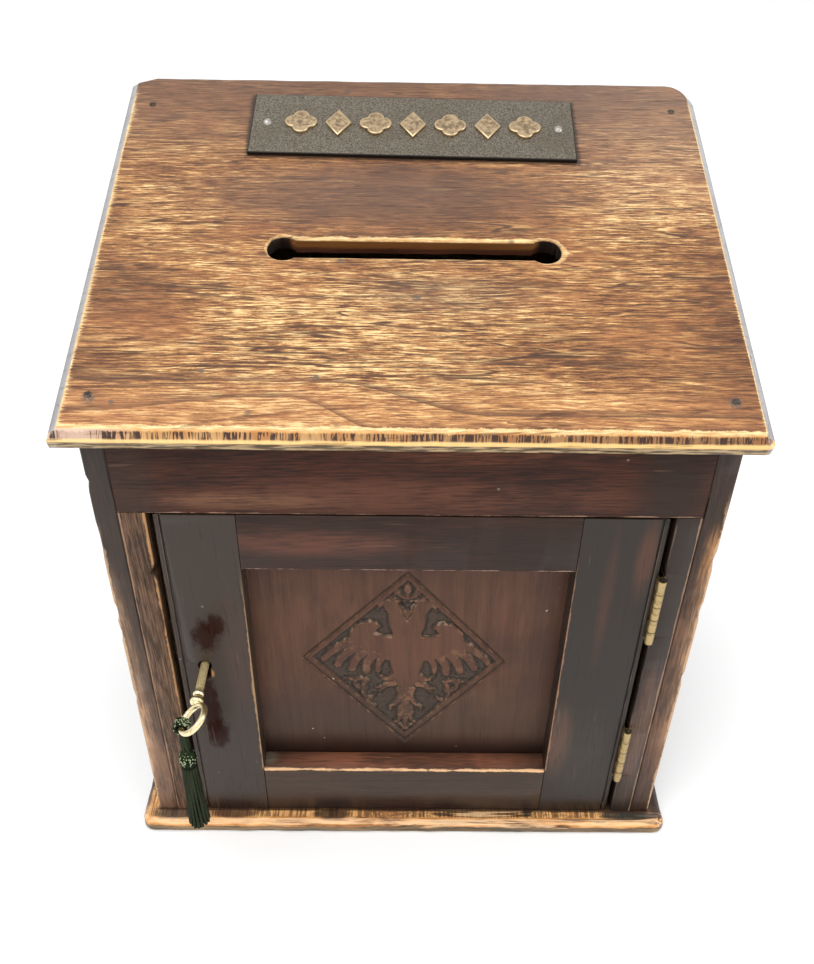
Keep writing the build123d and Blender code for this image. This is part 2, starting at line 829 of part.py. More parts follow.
def tassel_neck():
    """The doubled cord between the knots, its top hollowed round the loop."""
    low = -loop_radius - neck_length
    neck = rod((0, 0, low), (0, 0, 1), neck_radius, neck_length + loop_radius)
    neck -= rod((0, -loop_radius, 0), (0, 1, 0), loop_radius + soft_clearance, 2 * loop_radius)
    return Pos(loop_x, bow_y, loop_z) * neck


def tassel_head():
    """The knotted head that the skirt hangs from."""
    low = loop_z - loop_radius - neck_length - head_height
    head = rod((loop_x, bow_y, low), (0, 0, 1), head_radius, head_height)
    return fillet(head.edges(), head_round)


def skirt_section(radius):
    """Cords side by side round a core."""
    cord_radius = radius * math.sin(math.pi / skirt_cords)
    ring = radius - cord_radius
    face = Circle(ring)
    for i in range(skirt_cords):
        angle = 2 * math.pi * i / skirt_cords
        face += Pos(ring * math.cos(angle), ring * math.sin(angle)) * Circle(cord_radius)
    return face


def tassel_skirt():
    """The hanging cords, wider below."""
    top = loop_z - loop_radius - neck_length - head_height
    upper = Pos(loop_x, bow_y, top) * skirt_section(skirt_top_radius)
    lower = Pos(loop_x, bow_y, top - skirt_length) * skirt_section(skirt_bottom_radius)
    return loft([lower, upper], ruled=True)


def make_parts():
    """Every piece of the letter box by name."""
    parts = {
        "base_board": base_board(),
        "left_side_board": side_board(-1),
        "right_side_board": side_board(1),
        "back_board": back_board(),
        "front_rail": front_rail(),
        "lock_side_stile": lock_side_stile(),
        "hinge_side_stile": hinge_side_stile(),
        "door_stop": door_stop(),
        "top_board": top_board(),
        "top_glue_blocks": top_glue_blocks(),
        "base_glue_blocks": base_glue_blocks(),
        "top_nails": joined(top_nails_at()),
        "base_screws": joined(base_screws_at()),
        "back_pins": joined(back_pins_at()),
        "name_plate": name_plate(),
        "name_plate_ornaments": name_plate_ornaments(),
        "name_plate_pins": joined(plate_pins_at()),
        "strike_plate": strike_plate(),
        "strike_screws": joined(strike_screws_at()),
        "carcass_hinge_screws": joined(hinge_screws_at(1)),
        "door_hinge_screws": joined(hinge_screws_at(-1)),
        "door_lock_stile": door_lock_stile(),
        "door_hinge_stile": door_hinge_stile(),
        "door_top_rail": door_rail(1),
        "door_bottom_rail": door_rail(-1),
        "door_panel": door_panel(),
        "lock_plate": lock_plate(),
        "lock_posts": lock_posts(),
        "lock_cap": lock_cap(),
        "lock_bolt": lock_bolt(),
        "lock_spring": lock_spring(),
        "lock_drill_pin": drill_pin(),
        "lock_screws": joined(lock_screws_at()),
        "door_key": door_key(),
        "tassel_loop": tassel_loop(),
        "tassel_neck": tassel_neck(),
        "tassel_head": tassel_head(),
        "tassel_skirt": tassel_skirt(),
    }
    for name, middle in (("upper", upper_hinge_place), ("lower", lower_hinge_place)):
        parts[f"{name}_hinge_carcass_leaf"] = hinge_leaf(middle, 1)
        parts[f"{name}_hinge_door_leaf"] = hinge_leaf(middle, -1)
        parts[f"{name}_hinge_pin"] = hinge_pin(middle)
    return parts


def main():
    os.makedirs("parts", exist_ok=True)
    for name, shape in make_parts().items():
        export_step(shape, f"parts/{name}.step")
    print("door hinge axis", hinge_x, hinge_y)
    print("key axis", key_x, key_z, "turn", key_turn, "bolt per radian",
          bolt_throw / math.radians(key_turn))
    print("tassel pivot", loop_x, bow_y, loop_z)
    print("top arris", arris_y, arris_z, "length", top_length)


main()
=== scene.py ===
import math
from functools import reduce
from operator import add

import bmesh
import bpy
import numpy as np
from mathutils import Matrix, Vector, noise


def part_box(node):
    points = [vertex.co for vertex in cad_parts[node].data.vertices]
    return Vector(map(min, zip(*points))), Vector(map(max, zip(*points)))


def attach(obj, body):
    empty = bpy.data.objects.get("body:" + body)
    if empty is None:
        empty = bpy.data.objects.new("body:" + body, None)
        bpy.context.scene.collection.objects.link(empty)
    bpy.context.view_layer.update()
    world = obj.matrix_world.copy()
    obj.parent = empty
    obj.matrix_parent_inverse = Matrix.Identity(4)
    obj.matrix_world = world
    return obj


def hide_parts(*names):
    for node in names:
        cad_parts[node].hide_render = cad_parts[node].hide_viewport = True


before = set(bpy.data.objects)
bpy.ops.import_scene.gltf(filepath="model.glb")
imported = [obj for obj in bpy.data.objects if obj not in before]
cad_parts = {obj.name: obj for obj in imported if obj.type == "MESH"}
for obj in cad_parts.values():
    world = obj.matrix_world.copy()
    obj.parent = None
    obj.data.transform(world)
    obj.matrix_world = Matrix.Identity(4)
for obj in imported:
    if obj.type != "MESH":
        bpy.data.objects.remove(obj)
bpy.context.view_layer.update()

# ---- table, light and camera ----
# The box stands on a plain white table in a light tent, so soft light comes from all round.
# The camera looks down on it from in front, a little over its top.

def in_scene(name, data):
    """An object of the scene for a mesh, a lamp or a camera."""
    thing = bpy.data.objects.new(name, data)
    bpy.context.scene.collection.objects.link(thing)
    return thing


table_mesh = bpy.data.meshes.new("table")
table_mesh.from_pydata([(-9, -9, 0), (9, -9, 0), (9, 9, 0), (-9, 9, 0)], [], [(0, 1, 2, 3)])
in_scene("table", table_mesh)
table_paint = bpy.data.materials.new("table_paint")
table_paint.use_nodes = True
paint = table_paint.node_tree.nodes["Principled BSDF"]
paint.inputs["Base Color"].default_value = (0.96, 0.96, 0.96, 1)
paint.inputs["Roughness"].default_value = 0.8
table_mesh.materials.append(table_paint)

tent = bpy.data.worlds.new("tent")
tent.use_nodes = True
tent.node_tree.nodes["Background"].inputs["Color"].default_value = (1.0, 1.0, 1.0, 1)
tent.node_tree.nodes["Background"].inputs["Strength"].default_value = 1.0
bpy.context.scene.world = tent
bpy.context.scene.view_settings.view_transform = "Standard"

for name, place, aim, size, power in (
    ("lamp_above", (-0.5, -0.7, 1.6), (0, 0, 0.15), 1.3, 14.0),
    ("lamp_right", (1.3, -0.5, 1.0), (0, 0, 0.15), 0.9, 6.0),
):
    lamp = bpy.data.lights.new(name, "AREA")
    lamp.size = size
    lamp.energy = power
    holder = in_scene(name, lamp)
    holder.location = place
    holder.rotation_euler = (Vector(aim) - Vector(place)).to_track_quat("-Z", "Y").to_euler()

# the camera that was fitted to the photo, its focal length in pixels
focal_length, picture_height, sensor = 963.75, 964, 36
camera_place = (-0.006484, -0.403805, 0.454067)
yaw, pitch, roll = (math.radians(a) for a in (-0.8406, 36.385, -1.0755))
turn = Matrix.Rotation(yaw, 3, "Z")
ahead = turn @ Vector((0, math.cos(pitch), -math.sin(pitch)))
right = turn @ Vector((1, 0, 0))
down = ahead.cross(right)
right, down = (math.cos(roll) * right + math.sin(roll) * down,
               -math.sin(roll) * right + math.cos(roll) * down)
lens = bpy.data.cameras.new("camera")
lens.lens = focal_length / picture_height * sensor
lens.sensor_width = sensor
lens.sensor_fit = "AUTO"
lens.clip_end = 50
camera = in_scene("camera", lens)
camera.matrix_world = (Matrix.Translation(camera_place)
                       @ Matrix((right, -down, -ahead)).transposed().to_4x4())
bpy.context.scene.camera = camera

# ---- sloping top board ----
# An oak board nailed on the sides, planed with a broad chamfer and cut through for letters.
# Its stain has been rubbed back to golden brown, most of all on the arrises, round the slot
# and in front of it, and the back left corner is broken off.

slope = math.radians(21.3)
slope_origin = Vector((0, -0.0995967, 0.2540242))
slope_length = 0.2107567
slot_middle, slot_half_width, slot_half_length, drilled_radius = 0.0956, 0.0053, 0.0564, 0.0071
half_top = 0.1344
plate_middle, plate_half_height, plate_half_length = 0.175, 0.02115, 0.0762
plate_lean = math.radians(1)
to_slope = Matrix.Rotation(-slope, 4, "X") @ Matrix.Translation(-slope_origin)


class Field:
    """What a node gives out: a value, a colour or a place, which plain sums can be written with."""

    def __init__(self, socket):
        self.socket, self.tree = socket, socket.id_data

    def __abs__(self):
        return figured("ABSOLUTE", self)

    def __add__(self, other):
        return figured("ADD", self, other)

    def __mul__(self, other):
        return figured("MULTIPLY", self, other)

    def __sub__(self, other):
        return figured("SUBTRACT", self, other)

    def __rsub__(self, other):
        return figured("SUBTRACT", other, self)

    def __truediv__(self, other):
        return figured("DIVIDE", self, other)

    __radd__, __rmul__ = __add__, __mul__


def put(value, socket):
    """Gives a node's input a field to read or a plain value."""
    if isinstance(value, Field):
        value.tree.links.new(value.socket, socket)
    else:
        socket.default_value = value


def made(tree, kind, feeds=(), out=0, **settings):
    """One output of a new node, from what its inputs get and its settings."""
    node = tree.nodes.new(kind)
    for key, value in settings.items():
        setattr(node, key, value)
    for key, value in dict(feeds).items():
        put(value, node.inputs[key])
    return Field(node.outputs[out])


def figured(operation, *values):
    """One step of arithmetic, on places if there is one among the values."""
    tree = next(v.tree for v in values if isinstance(v, Field))
    on_places = any(isinstance(v, tuple) or isinstance(v, Field) and v.socket.type == "VECTOR"
                    for v in values)
    return made(tree, "ShaderNodeVectorMath" if on_places else "ShaderNodeMath",
                dict(enumerate(values)), operation=operation)


def held(value):
    """A sum held between 0 and 1."""
    value.socket.node.use_clamp = True
    return value


def larger(a, b):
    """The larger of two values."""
    return figured("MAXIMUM", a, b)


def smaller(a, b):
    """The smaller of two values."""
    return figured("MINIMUM", a, b)


def how_far(place):
    """How far a place is from the origin."""
    return made(place.tree, "ShaderNodeVectorMath", {0: place}, "Value", operation="LENGTH")


def scaled(place, factor):
    """A place moved out from the origin by a factor."""
    return made(place.tree, "ShaderNodeVectorMath", {0: place, 3: factor}, operation="SCALE")


def parted(place):
    """A place's X, Y and Z."""
    return [Field(s) for s in made(place.tree, "ShaderNodeSeparateXYZ", {0: place}).socket.node.outputs]


def joined(*parts):
    """A place from its X, Y and Z."""
    tree = next(v.tree for v in parts if isinstance(v, Field))
    return made(tree, "ShaderNodeCombineXYZ", dict(enumerate(parts)))


def stored(place, name):
    """A value that the mesh itself holds at each of its points."""
    return made(place.tree, "ShaderNodeAttribute", (), "Fac", attribute_name=name)


def ease(value, low, high, start=0.0, end=1.0):
    """start below low and end above high, with a smooth change between them."""
    return made(value.tree, "ShaderNodeMapRange",
                {"Value": value, "From Min": low, "From Max": high, "To Min": start, "To Max": end},
                "Result", interpolation_type="SMOOTHSTEP")


def tint(share, under, over):
    """The colour over laid on the colour under, by a share."""
    under, over = (c if isinstance(c, Field) else (*c, 1) for c in (under, over))
    return made(share.tree, "ShaderNodeMix", {0: share, 6: under, 7: over}, 2, data_type="RGBA")


def toned(level, *stops):
    """A colour for each level, from stops that are each a level and its colour."""
    colour = made(level.tree, "ShaderNodeValToRGB", {0: level}, "Color")
    ramp = colour.socket.node.color_ramp
    for end, (position, shade) in zip(ramp.elements, (stops[0], stops[-1])):
        end.position, end.color = position, (*shade, 1)
    for position, shade in stops[1:-1]:
        ramp.elements.new(position).color = (*shade, 1)
    return colour


def speckle(place, scale, detail=2.0, roughness=0.5, distortion=0.0):
    """Plain noise at a place."""
    return made(place.tree, "ShaderNodeTexNoise",
                {"Vector": place, "Scale": scale, "Detail": detail, "Roughness": roughness,
                 "Distortion": distortion}, "Fac")


def stretched(place, scale, offset=(0, 0, 0), rotation=(0, 0, 0)):
    """A place scaled along each axis, so that noise on it turns into streaks."""
    return made(place.tree, "ShaderNodeMapping",
                {"Vector": place, "Scale": scale, "Location": offset, "Rotation": rotation}, "Vector")


def streaked(place, scale, detail=2.0, roughness=0.5, distortion=0.0, **moves):
    """Noise drawn out along the axes where its scale is small."""
    return speckle(stretched(place, scale, **moves), 1.0, detail, roughness, distortion)


def fields(node):
    """What a node gives out, by name."""
    return {s.name: Field(s) for s in node.outputs}


def new_group(name, inputs, outputs):
    """An empty effect, what comes into it and where its results go."""
    group = bpy.data.node_groups.new(name, "ShaderNodeTree")
    for label, kind, value in inputs:
        socket = group.interface.new_socket(label, in_out="INPUT", socket_type=kind)
        socket.default_value = value
    for label, kind in outputs:
        group.interface.new_socket(label, in_out="OUTPUT", socket_type=kind)
    return group, fields(group.nodes.new("NodeGroupInput")), group.nodes.new("NodeGroupOutput").inputs


def oak_grain_group():
    """Oak with its grain along X: short dark pores, growth rings round X, streaks and clouds."""
    group, ends, out = new_group(
        "oak_grain",
        [("Place", "NodeSocketVector", (0, 0, 0)), ("Ring Width", "NodeSocketFloat", 0.005),
         ("Pore Length", "NodeSocketFloat", 0.02)],
        [("Pores", "NodeSocketFloat"), ("Rings", "NodeSocketFloat"),
         ("Streaks", "NodeSocketFloat"), ("Clouds", "NodeSocketFloat")])
    place = ends["Place"]
    sway = streaked(place, (7, 22, 22), 2)
    swayed = place + joined(0, (sway - 0.5) * 0.012)
    along, side, up = parted(swayed)
    fine = speckle(joined(along / ends["Pore Length"], side * 1100, up * 1100), 1.0, 3, 0.6)
    turns = figured("SQRT", side * side + up * up) / ends["Ring Width"]
    uneven = streaked(place, (3, 60, 60), 2)
    ring = figured("POWER", figured("FRACT", uneven * 1.6 + turns), 2.2)
    early = ease(ring, 0.25, 0.9, 0.55, 1.0)
    pores = ease(fine * early, 0.47, 0.62)
    streaks = streaked(swayed, (14, 240, 240), 4, 0.62)
    clouds = streaked(place, (16, 26, 26), 4, 0.6, 0.4)
    put(pores, out["Pores"])
    put(ring, out["Rings"])
    put(ease(streaks, 0.3, 0.7), out["Streaks"])
    put(ease(clouds, 0.3, 0.7), out["Clouds"])
    return group


def scratches_group():
    """Fine scratches, knocks and specks of a surface that has been used for a lifetime."""
    group, ends, out = new_group(
        "scratches", [("Place", "NodeSocketVector", (0, 0, 0)), ("Size", "NodeSocketFloat", 1.0)],
        [("Scratches", "NodeSocketFloat"), ("Knocks", "NodeSocketFloat"), ("Specks", "NodeSocketFloat")])
    sized = scaled(ends["Place"], ends["Size"])
    marks = []
    for turn, shift in ((0.5, 0.0), (-0.9, 3.0), (2.2, 7.0)):
        lined = stretched(sized, (28, 900, 60), (shift, shift, shift), (0, 0, turn))
        line = ease(speckle(lined, 1.0, 1.0), 0.735, 0.77)
        gap = ease(streaked(sized, (22, 22, 22), 1, offset=(shift, 0, 0)), 0.52, 0.6)
        marks.append(line * gap)
    knock = made(group, "ShaderNodeTexVoronoi", {"Vector": sized, "Scale": 62.0}, "Distance")
    knock = ease(knock, 0.05, 0.16, 1, 0)
    some = ease(speckle(sized, 40.0, 1), 0.56, 0.62)
    dot = made(group, "ShaderNodeTexVoronoi", {"Vector": sized, "Scale": 150.0}, "Distance")
    chance = made(group, "ShaderNodeSeparateColor", {0: fields(dot.socket.node)["Color"]})
    put(reduce(larger, marks), out["Scratches"])
    put(knock * some, out["Knocks"])
    put(ease(dot, 0.05, 0.09, 1, 0) * ease(chance, 0.9, 0.92), out["Specks"])
    return group


oak_grain, scratches = oak_grain_group(), scratches_group()


def use(group, feeds):
    """An effect placed in a material with its own values, and what it gives by name."""
    return fields(made(feeds["Place"].tree, "ShaderNodeGroup", feeds, node_tree=group).socket.node)


def new_finish(name):
    """A material, its shader and the piece's own place."""
    finish = bpy.data.materials.new(name)
    finish.use_nodes = True
    tree = finish.node_tree
    return finish, tree.nodes["Principled BSDF"], made(tree, "ShaderNodeTexCoord", (), "Object")


def feed(shader, **values):
    """Gives the shader's inputs a field to read or a value; _ stands for a space."""
    for key, value in values.items():
        put(value, shader.inputs[key.replace("_", " ")])


def relief(height, strength, distance):
    """The small relief of a surface, as a normal."""
    return made(height.tree, "ShaderNodeBump",
                {"Height": height, "Strength": strength, "Distance": distance}, "Normal")


def rubbed_patch(place, centre, size):
    """1 at a centre on the board, easing to 0 at an oval round it; place is x, up the slope."""
    wide, high = 1 / size[0], 1 / size[1]
    far = how_far(stretched(place, (wide, high, 0), (-centre[0] * wide, -centre[1] * high, 0)))
    return ease(far, 0.15, 1.0, 1, 0)


def top_oak():
    """Stained oak worn back by hands and letters, in the sloping board's own directions."""
    finish, shader, place = new_finish("top_oak")
    board = stretched(place, (1, 1, 1), tuple(to_slope.translation), (-slope, 0, 0))
    log = stretched(board, (1, 1, 1), (0.03, 0.002, 0.022), (0, math.radians(3.2), math.radians(-1.5)))
    grain = use(oak_grain, {"Place": log, "Ring Width": 0.0062, "Pore Length": 0.024})
    marks = use(scratches, {"Place": board, "Size": 1.0})
    across, up_slope, deep = parted(board)
    sway = streaked(board, (7, 20, 10), 2) - 0.5
    waved = joined(across, up_slope + sway * 0.007, deep)
    fine = streaked(waved, (95, 1300, 150), 4, 0.8) - 0.5
    middle = streaked(waved, (20, 230, 60), 5, 0.68) - 0.5
    blotch = streaked(board, (20, 38, 20), 4, 0.62, 0.3) - 0.5
    wear = reduce(add, [rubbed_patch(board, centre, size) * amount for centre, size, amount in (
        ((-0.005, 0.060), (0.12, 0.055), 0.165),
        ((-0.05, 0.045), (0.10, 0.05), 0.10),
        ((0.0, 0.010), (0.20, 0.030), 0.235),
        ((0.105, 0.125), (0.06, 0.08), 0.17),
        ((-0.10, 0.115), (0.06, 0.09), 0.11),
        ((-0.112, 0.065), (0.035, 0.03), -0.16),
        ((0.0, 0.128), (0.085, 0.030), -0.26),
        ((0.0, 0.205), (0.22, 0.030), -0.20),
        ((0.128, 0.05), (0.022, 0.07), -0.14),
    )])
    bare = ease(wear, -0.2, 0.35)
    level = 0.42 + wear
    level += blotch * 0.85
    level += middle * ease(bare, 0, 1, 0.9, 1.35)
    level += fine * (ease(bare, 0, 1, 1.9, 4.2) * ease(up_slope, 0.012, 0.03, 0.6, 1))
    broken = ease(streaked(board, (30, 260, 60), 4, 0.7), 0.38, 0.6)
    arches = ease(grain["Rings"], 0.72, 1.0) * broken * ease(up_slope, 0.03, 0.055, 0.42, 0.12)
    level -= arches
    colour = toned(level, (0.0, (0.062, 0.022, 0.009)), (0.25, (0.155, 0.058, 0.021)),
                   (0.5, (0.32, 0.138, 0.048)), (0.75, (0.53, 0.268, 0.094)), (1.0, (0.92, 0.66, 0.31)))
    # thin dark splits along the grain, and stain that stays redder in some places than others
    splits = ease(streaked(waved, (17, 620, 90), 3, 0.55), 0.60, 0.645)
    splits *= ease(up_slope, 0.05, 0.13, 0.9, 0.3)
    colour = tint(splits, colour, (0.085, 0.035, 0.016))
    colour = tint(ease(up_slope, 0.012, 0.026, 0.2, 0), colour, (0.66, 0.29, 0.12))
    # thin dark hairlines that bend a little, the broad ones pale along one side
    thread = streaked(waved, (9, 135, 40), 2, 0.45) - 0.5
    thin = streaked(waved, (12, 215, 60), 2, 0.5, offset=(5, 2, 1)) - 0.5
    shown = ease(streaked(board, (16, 110, 30), 4, 0.65, offset=(3, 1, 0)), 0.40, 0.54)
    shown *= ease(up_slope, 0.014, 0.030, 0.25, 1)
    pale_side = ease(abs(thread - 0.027), 0.006, 0.016, 1, 0)
    colour = tint(pale_side * shown * ease(bare, 0, 1, 0.15, 0.5), colour, (0.84, 0.56, 0.24))
    for line, inner, outer, share in ((thread, 0.005, 0.015, 0.9), (thin, 0.008, 0.022, 0.75)):
        line = ease(abs(line), inner, outer, share, 0)
        colour = tint(line * shown, colour, (0.070, 0.030, 0.015))
    # two rings that come out at the front edge: a long wavy one and an arch, each a dark line with a
    # painted soft shadow along one side
    long_ring = ease(across, -0.034, 0.030, 0.0231, 0.0075)
    arch = ease(across, -0.128, -0.06, 0.008, 0.0152) - ease(across, -0.047, -0.012, 0, 0.0150)
    for curve in (long_ring, arch):
        under = curve + middle * 0.0012 - up_slope
        # the painted soft shadow beside the ring's line
        shadow_side = ease(under, -0.0036, 0.0, 0, 0.75) * ease(under, -0.0002, 0.0002, 1, 0)
        ring = larger(ease(abs(under), 0.0001, 0.0006, 0.85, 0), shadow_side)
        colour = tint(ring * ease(broken, 0, 1, 0.9, 1), colour, (0.10, 0.042, 0.021))
    ruddy = ease(streaked(board, (22, 34, 20), 3, 0.6), 0.48, 0.66, 0, 0.3)
    colour = tint(ruddy, colour, (0.40, 0.150, 0.055))
    dull = ease(up_slope, 0.13, 0.19, 0, 0.55)
    dull = larger(dull, rubbed_patch(board, (-0.02, 0.13), (0.12, 0.035)) * 0.65)
    dull = larger(dull, rubbed_patch(board, (0.012, 0.069), (0.055, 0.018)) * 0.4)
    colour = tint(dull, colour, (0.155, 0.088, 0.058))
    # a painted grey sheen towards the back right, a reflection of the pale surroundings
    grey_sheen = ease(across, 0.0, 0.12) * ease(up_slope, 0.09, 0.15, 0, 0.15)
    colour = tint(grey_sheen, colour, (0.46, 0.34, 0.26))
    hairs = ease(fine, -0.12, 0.02, 0.42, 0)
    colour = tint(hairs, colour, (0.075, 0.034, 0.018))
    # arrises: streaks along the grain at the sides, a thin line in front, none behind
    from_side = half_top - abs(across)
    ragged = streaked(board, (90, 1500, 60), 4, 0.75)
    slow = streaked(board, (10, 45, 10), 2)
    side_reach = ease(ragged, 0.42, 0.72) * ease(slow, 0.3, 0.7, 0.0006, 0.0045)
    side_reach *= ease(across, -0.1, 0.1, 1, 0.35)
    side_wear = ease(from_side / (side_reach + ease(across, -0.1, 0.1, 0.0004, 0.00018)), 0.4, 1.3, 1, 0)
    front_reach = ease(streaked(board, (110, 20, 20), 4, 0.7), 0.3, 0.7, 0.0007, 0.0022)
    front_wear = ease(up_slope / front_reach, 0.55, 1.1, 1, 0)
    before_back = ease(up_slope, slope_length - 0.02, slope_length - 0.006, 1, 0)
    pale = larger(side_wear, front_wear) * before_back
    # the slot's rim: a broad rubbed lip behind, a thin line round the rest
    from_end = abs(across - 0.0007) - slot_half_length
    off_line = up_slope - slot_middle
    hole = figured("SQRT", from_end * from_end + off_line * off_line) - drilled_radius
    straight = larger(abs(off_line) - slot_half_width, from_end)
    to_slot = smaller(hole, straight)
    lip = ease(off_line, -0.002, 0.004) * ease(from_end, -0.012, 0.0, 1, 0)
    lip_reach = ease(lip, 0, 1, 0.0009, 0.0017)
    lip_reach += rubbed_patch(board, (0.0665, 0.093), (0.009, 0.010)) * 0.0018
    lip_noise = (streaked(board, (90, 300, 90), 4, 0.7) - 0.5) * 0.0042
    rim = ease((to_slot + lip_noise) / lip_reach, 0.7, 1.2, 1, 0)
    pale = larger(pale, rim * ease(lip, 0, 1, 0.65, 0.97))
    bright = tint(ease(fine, -0.1, 0.1), (0.68, 0.38, 0.14), (0.98, 0.74, 0.38))
    colour = tint(pale * 0.9, colour, bright)
    # below the top face: the slot's walls, the front chamfer, the glossy side chamfers, the edge
    below = ease(deep, -0.0016, -0.0006, 1, 0)
    in_slot = below * ease(from_side, 0.01, 0.011)
    in_slot *= ease(up_slope, 0.07, 0.071)
    # the slot's walls darker further down: painted shade in the slot
    wall = tint(ease(deep, -0.0060, -0.0044), (0.15, 0.054, 0.028), (0.29, 0.115, 0.033))
    wall = tint(ease(from_end, -0.004, -0.001), wall, (0.020, 0.014, 0.012))
    wall = tint(grain["Streaks"] * 0.5, wall, (0.03, 0.012, 0.007))
    colour = tint(in_slot, colour, wall)
    in_front = ease(up_slope, -0.0006, -0.0001, 1, 0)
    cut = streaked(board, (1000, 90, 90), 2, 0.6)
    cluster = streaked(board, (42, 10, 10), 4, 0.72)
    cuts = ease(cut, 0.47, 0.52) * ease(cluster, 0.41, 0.49)
    ragged_deep = deep + (cut - 0.5) * 0.0022
    chamfer = tint(ease(cluster, 0.35, 0.6), (0.82, 0.50, 0.20), (0.58, 0.26, 0.075))
    # the front chamfer's left end painted pale grey: a painted reflection of the white surroundings
    chamfer = tint(ease(across, -0.128, -0.098, 0.75, 0), chamfer, (0.66, 0.50, 0.44))
    band = ease(ragged_deep, -0.0009, -0.0016) * ease(across, -0.13, 0.10, 0.35, 0.8)
    chamfer = tint(band, chamfer, (0.17, 0.070, 0.028))
    cuts *= ease(ragged_deep, -0.0007, -0.0012)
    chamfer = tint(cuts, chamfer, (0.045, 0.018, 0.009))
    lower_line = ease(deep, -0.0036, -0.0029, 1, 0)
    chamfer = tint(lower_line * 0.8, chamfer, (0.90, 0.58, 0.22))
    colour = tint(in_front, colour, chamfer)
    slanted = streaked(board, (90, 60, 900), 3, 0.6, rotation=(0, 0.35, 0))
    fascia = tint(ease(slanted, 0.42, 0.58), (0.085, 0.055, 0.026), (0.42, 0.29, 0.15))
    colour = tint(in_front * ease(deep, -0.0046, -0.0041, 1, 0), colour, fascia)
    at_side = ease(from_side, -0.0009, -0.0003, 1, 0)
    at_back = ease(up_slope, slope_length + 0.0002, slope_length + 0.0008)
    aside = larger(at_side, at_back) * (1.0 - in_front)
    # the side and back edges: dark below, with a painted grey reflection of the white surroundings above
    side_dark_and_sheen = tint(ease(deep, -0.0046, -0.0040), (0.10, 0.055, 0.032), (0.27, 0.26, 0.26))
    colour = tint(aside, colour, side_dark_and_sheen)
    colour = tint(grain["Pores"] * 0.5, colour, (0.055, 0.022, 0.011))
    # a dark band round the name plate: its painted shadow on the board, with dirt at its edge
    beyond = abs(up_slope - plate_middle + across * plate_lean) - plate_half_height
    beyond = larger(beyond, abs(across) - plate_half_length)
    beyond += fine * 0.003
    colour = tint(ease(beyond, 0.0006, 0.0028, 0.8, 0), colour, (0.030, 0.016, 0.010))
    colour = tint(marks["Scratches"] * 0.5, colour, (0.07, 0.03, 0.016))
    colour = tint(marks["Knocks"] * 0.7, colour, (0.09, 0.06, 0.045))
    dents = reduce(larger, [ease(how_far(board - (*at, 0)), size / 2, size * 1.2, 1, 0) for *at, size in (
        (-0.1247, 0.0135, 0.0030), (-0.1158, 0.0119, 0.0013), (0.1245, 0.0145, 0.0030),
        (0.0015, 0.0675, 0.0022), (-0.031, 0.0880, 0.0016), (-0.0382, 0.0248, 0.0018),
        (-0.083, 0.0275, 0.0014),
    )])
    dents *= ease(speckle(board, 700, 2), 0.35, 0.5)
    colour = tint(dents * 0.75, colour, (0.10, 0.085, 0.07))
    height = fine * 0.5 - grain["Pores"] * 0.6
    height -= (marks["Scratches"] + marks["Knocks"]) * 0.6
    rough = 0.36 + grain["Pores"] * 0.25
    rough = held(rough + grain["Clouds"] * 0.14)
    feed(shader, Base_Color=colour, Roughness=rough, Normal=relief(height, 0.5, 0.0003),
         Coat_Weight=at_side * 0.9, Coat_Roughness=0.12, Specular_IOR_Level=0.35)
    return finish


def settle(piece, body, *nodes, slot):
    """Fixes a finished piece to a body, in place of the solids that it stands for."""
    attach(piece, body)
    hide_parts(*nodes)


def new_piece(name, solid, finish, smooth=35):
    """A finished mesh as an object, smooth apart from its sharp arrises."""
    mesh = bpy.data.meshes.new(name)
    solid.to_mesh(mesh)
    solid.free()
    mesh.materials.append(finish)
    mesh.shade_smooth()
    mesh.set_sharp_from_angle(angle=math.radians(smooth))
    return in_scene(name, mesh)


def merged(node):
    """A copy of a solid with its loose triangles joined and its flat faces whole."""
    solid = bmesh.new()
    solid.from_mesh(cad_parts[node].data)
    bmesh.ops.remove_doubles(solid, verts=solid.verts, dist=2e-6)
    bmesh.ops.dissolve_limit(solid, angle_limit=0.004, verts=solid.verts, edges=solid.edges)
    return solid


def round_arrises(solid, width, choose, segments=3):
    """Rounds the chosen outside corners between flat faces."""
    picked = [e for e in solid.edges if len(e.link_faces) == 2 and e.is_convex
              and 0.5 < e.calc_face_angle(0) < 2.7 and choose(e)]
    bmesh.ops.bevel(solid, geom=picked, offset=width, offset_type="OFFSET", segments=segments,
                    profile=0.5, affect="EDGES", clamp_overlap=True)


def sliced(solid, steps):
    """Cuts the faces into strips a step wide along each axis that has a step."""
    for axis, step in enumerate(steps):
        if not step:
            continue
        low = min(v.co[axis] for v in solid.verts)
        high = max(v.co[axis] for v in solid.verts)
        for i in range(1, int((high - low) / step)):
            place, facing = [0, 0, 0], [0, 0, 0]
            place[axis], facing[axis] = low + i * step, 1
            bmesh.ops.bisect_plane(solid, geom=solid.verts[:] + solid.edges[:] + solid.faces[:],
                                   plane_co=place, plane_no=facing, dist=1e-6)


def knocked(solid, depth, scale, seed=0.0, back=1.0):
    """Moves what lies between square faces inwards by uneven amounts, as use does to arrises, as
    far back as is given."""
    solid.normal_update()
    for v in [v for v in solid.verts if v.co.y < back]:
        n = v.normal
        between = (1 - max(abs(n.x), abs(n.y), abs(n.z))) / 0.29
        if between > 0.12:
            place = v.co * scale + Vector((seed, 0, 0))
            amount = 0.5 + 0.5 * noise.noise(place) + 0.35 * noise.noise(place * 3.1)
            deep = max(0.0, noise.noise(place * 0.45) - 0.34) * 4
            v.co -= n * depth * min(1.0, between) * max(0.0, amount + deep)


top_solid = merged("top_board")
bmesh.ops.transform(top_solid, matrix=to_slope, verts=top_solid.verts)


def in_slot(e):
    return all(abs(v.co.x) < 0.066 and abs(v.co.y - slot_middle) < 0.0085 for v in e.verts)


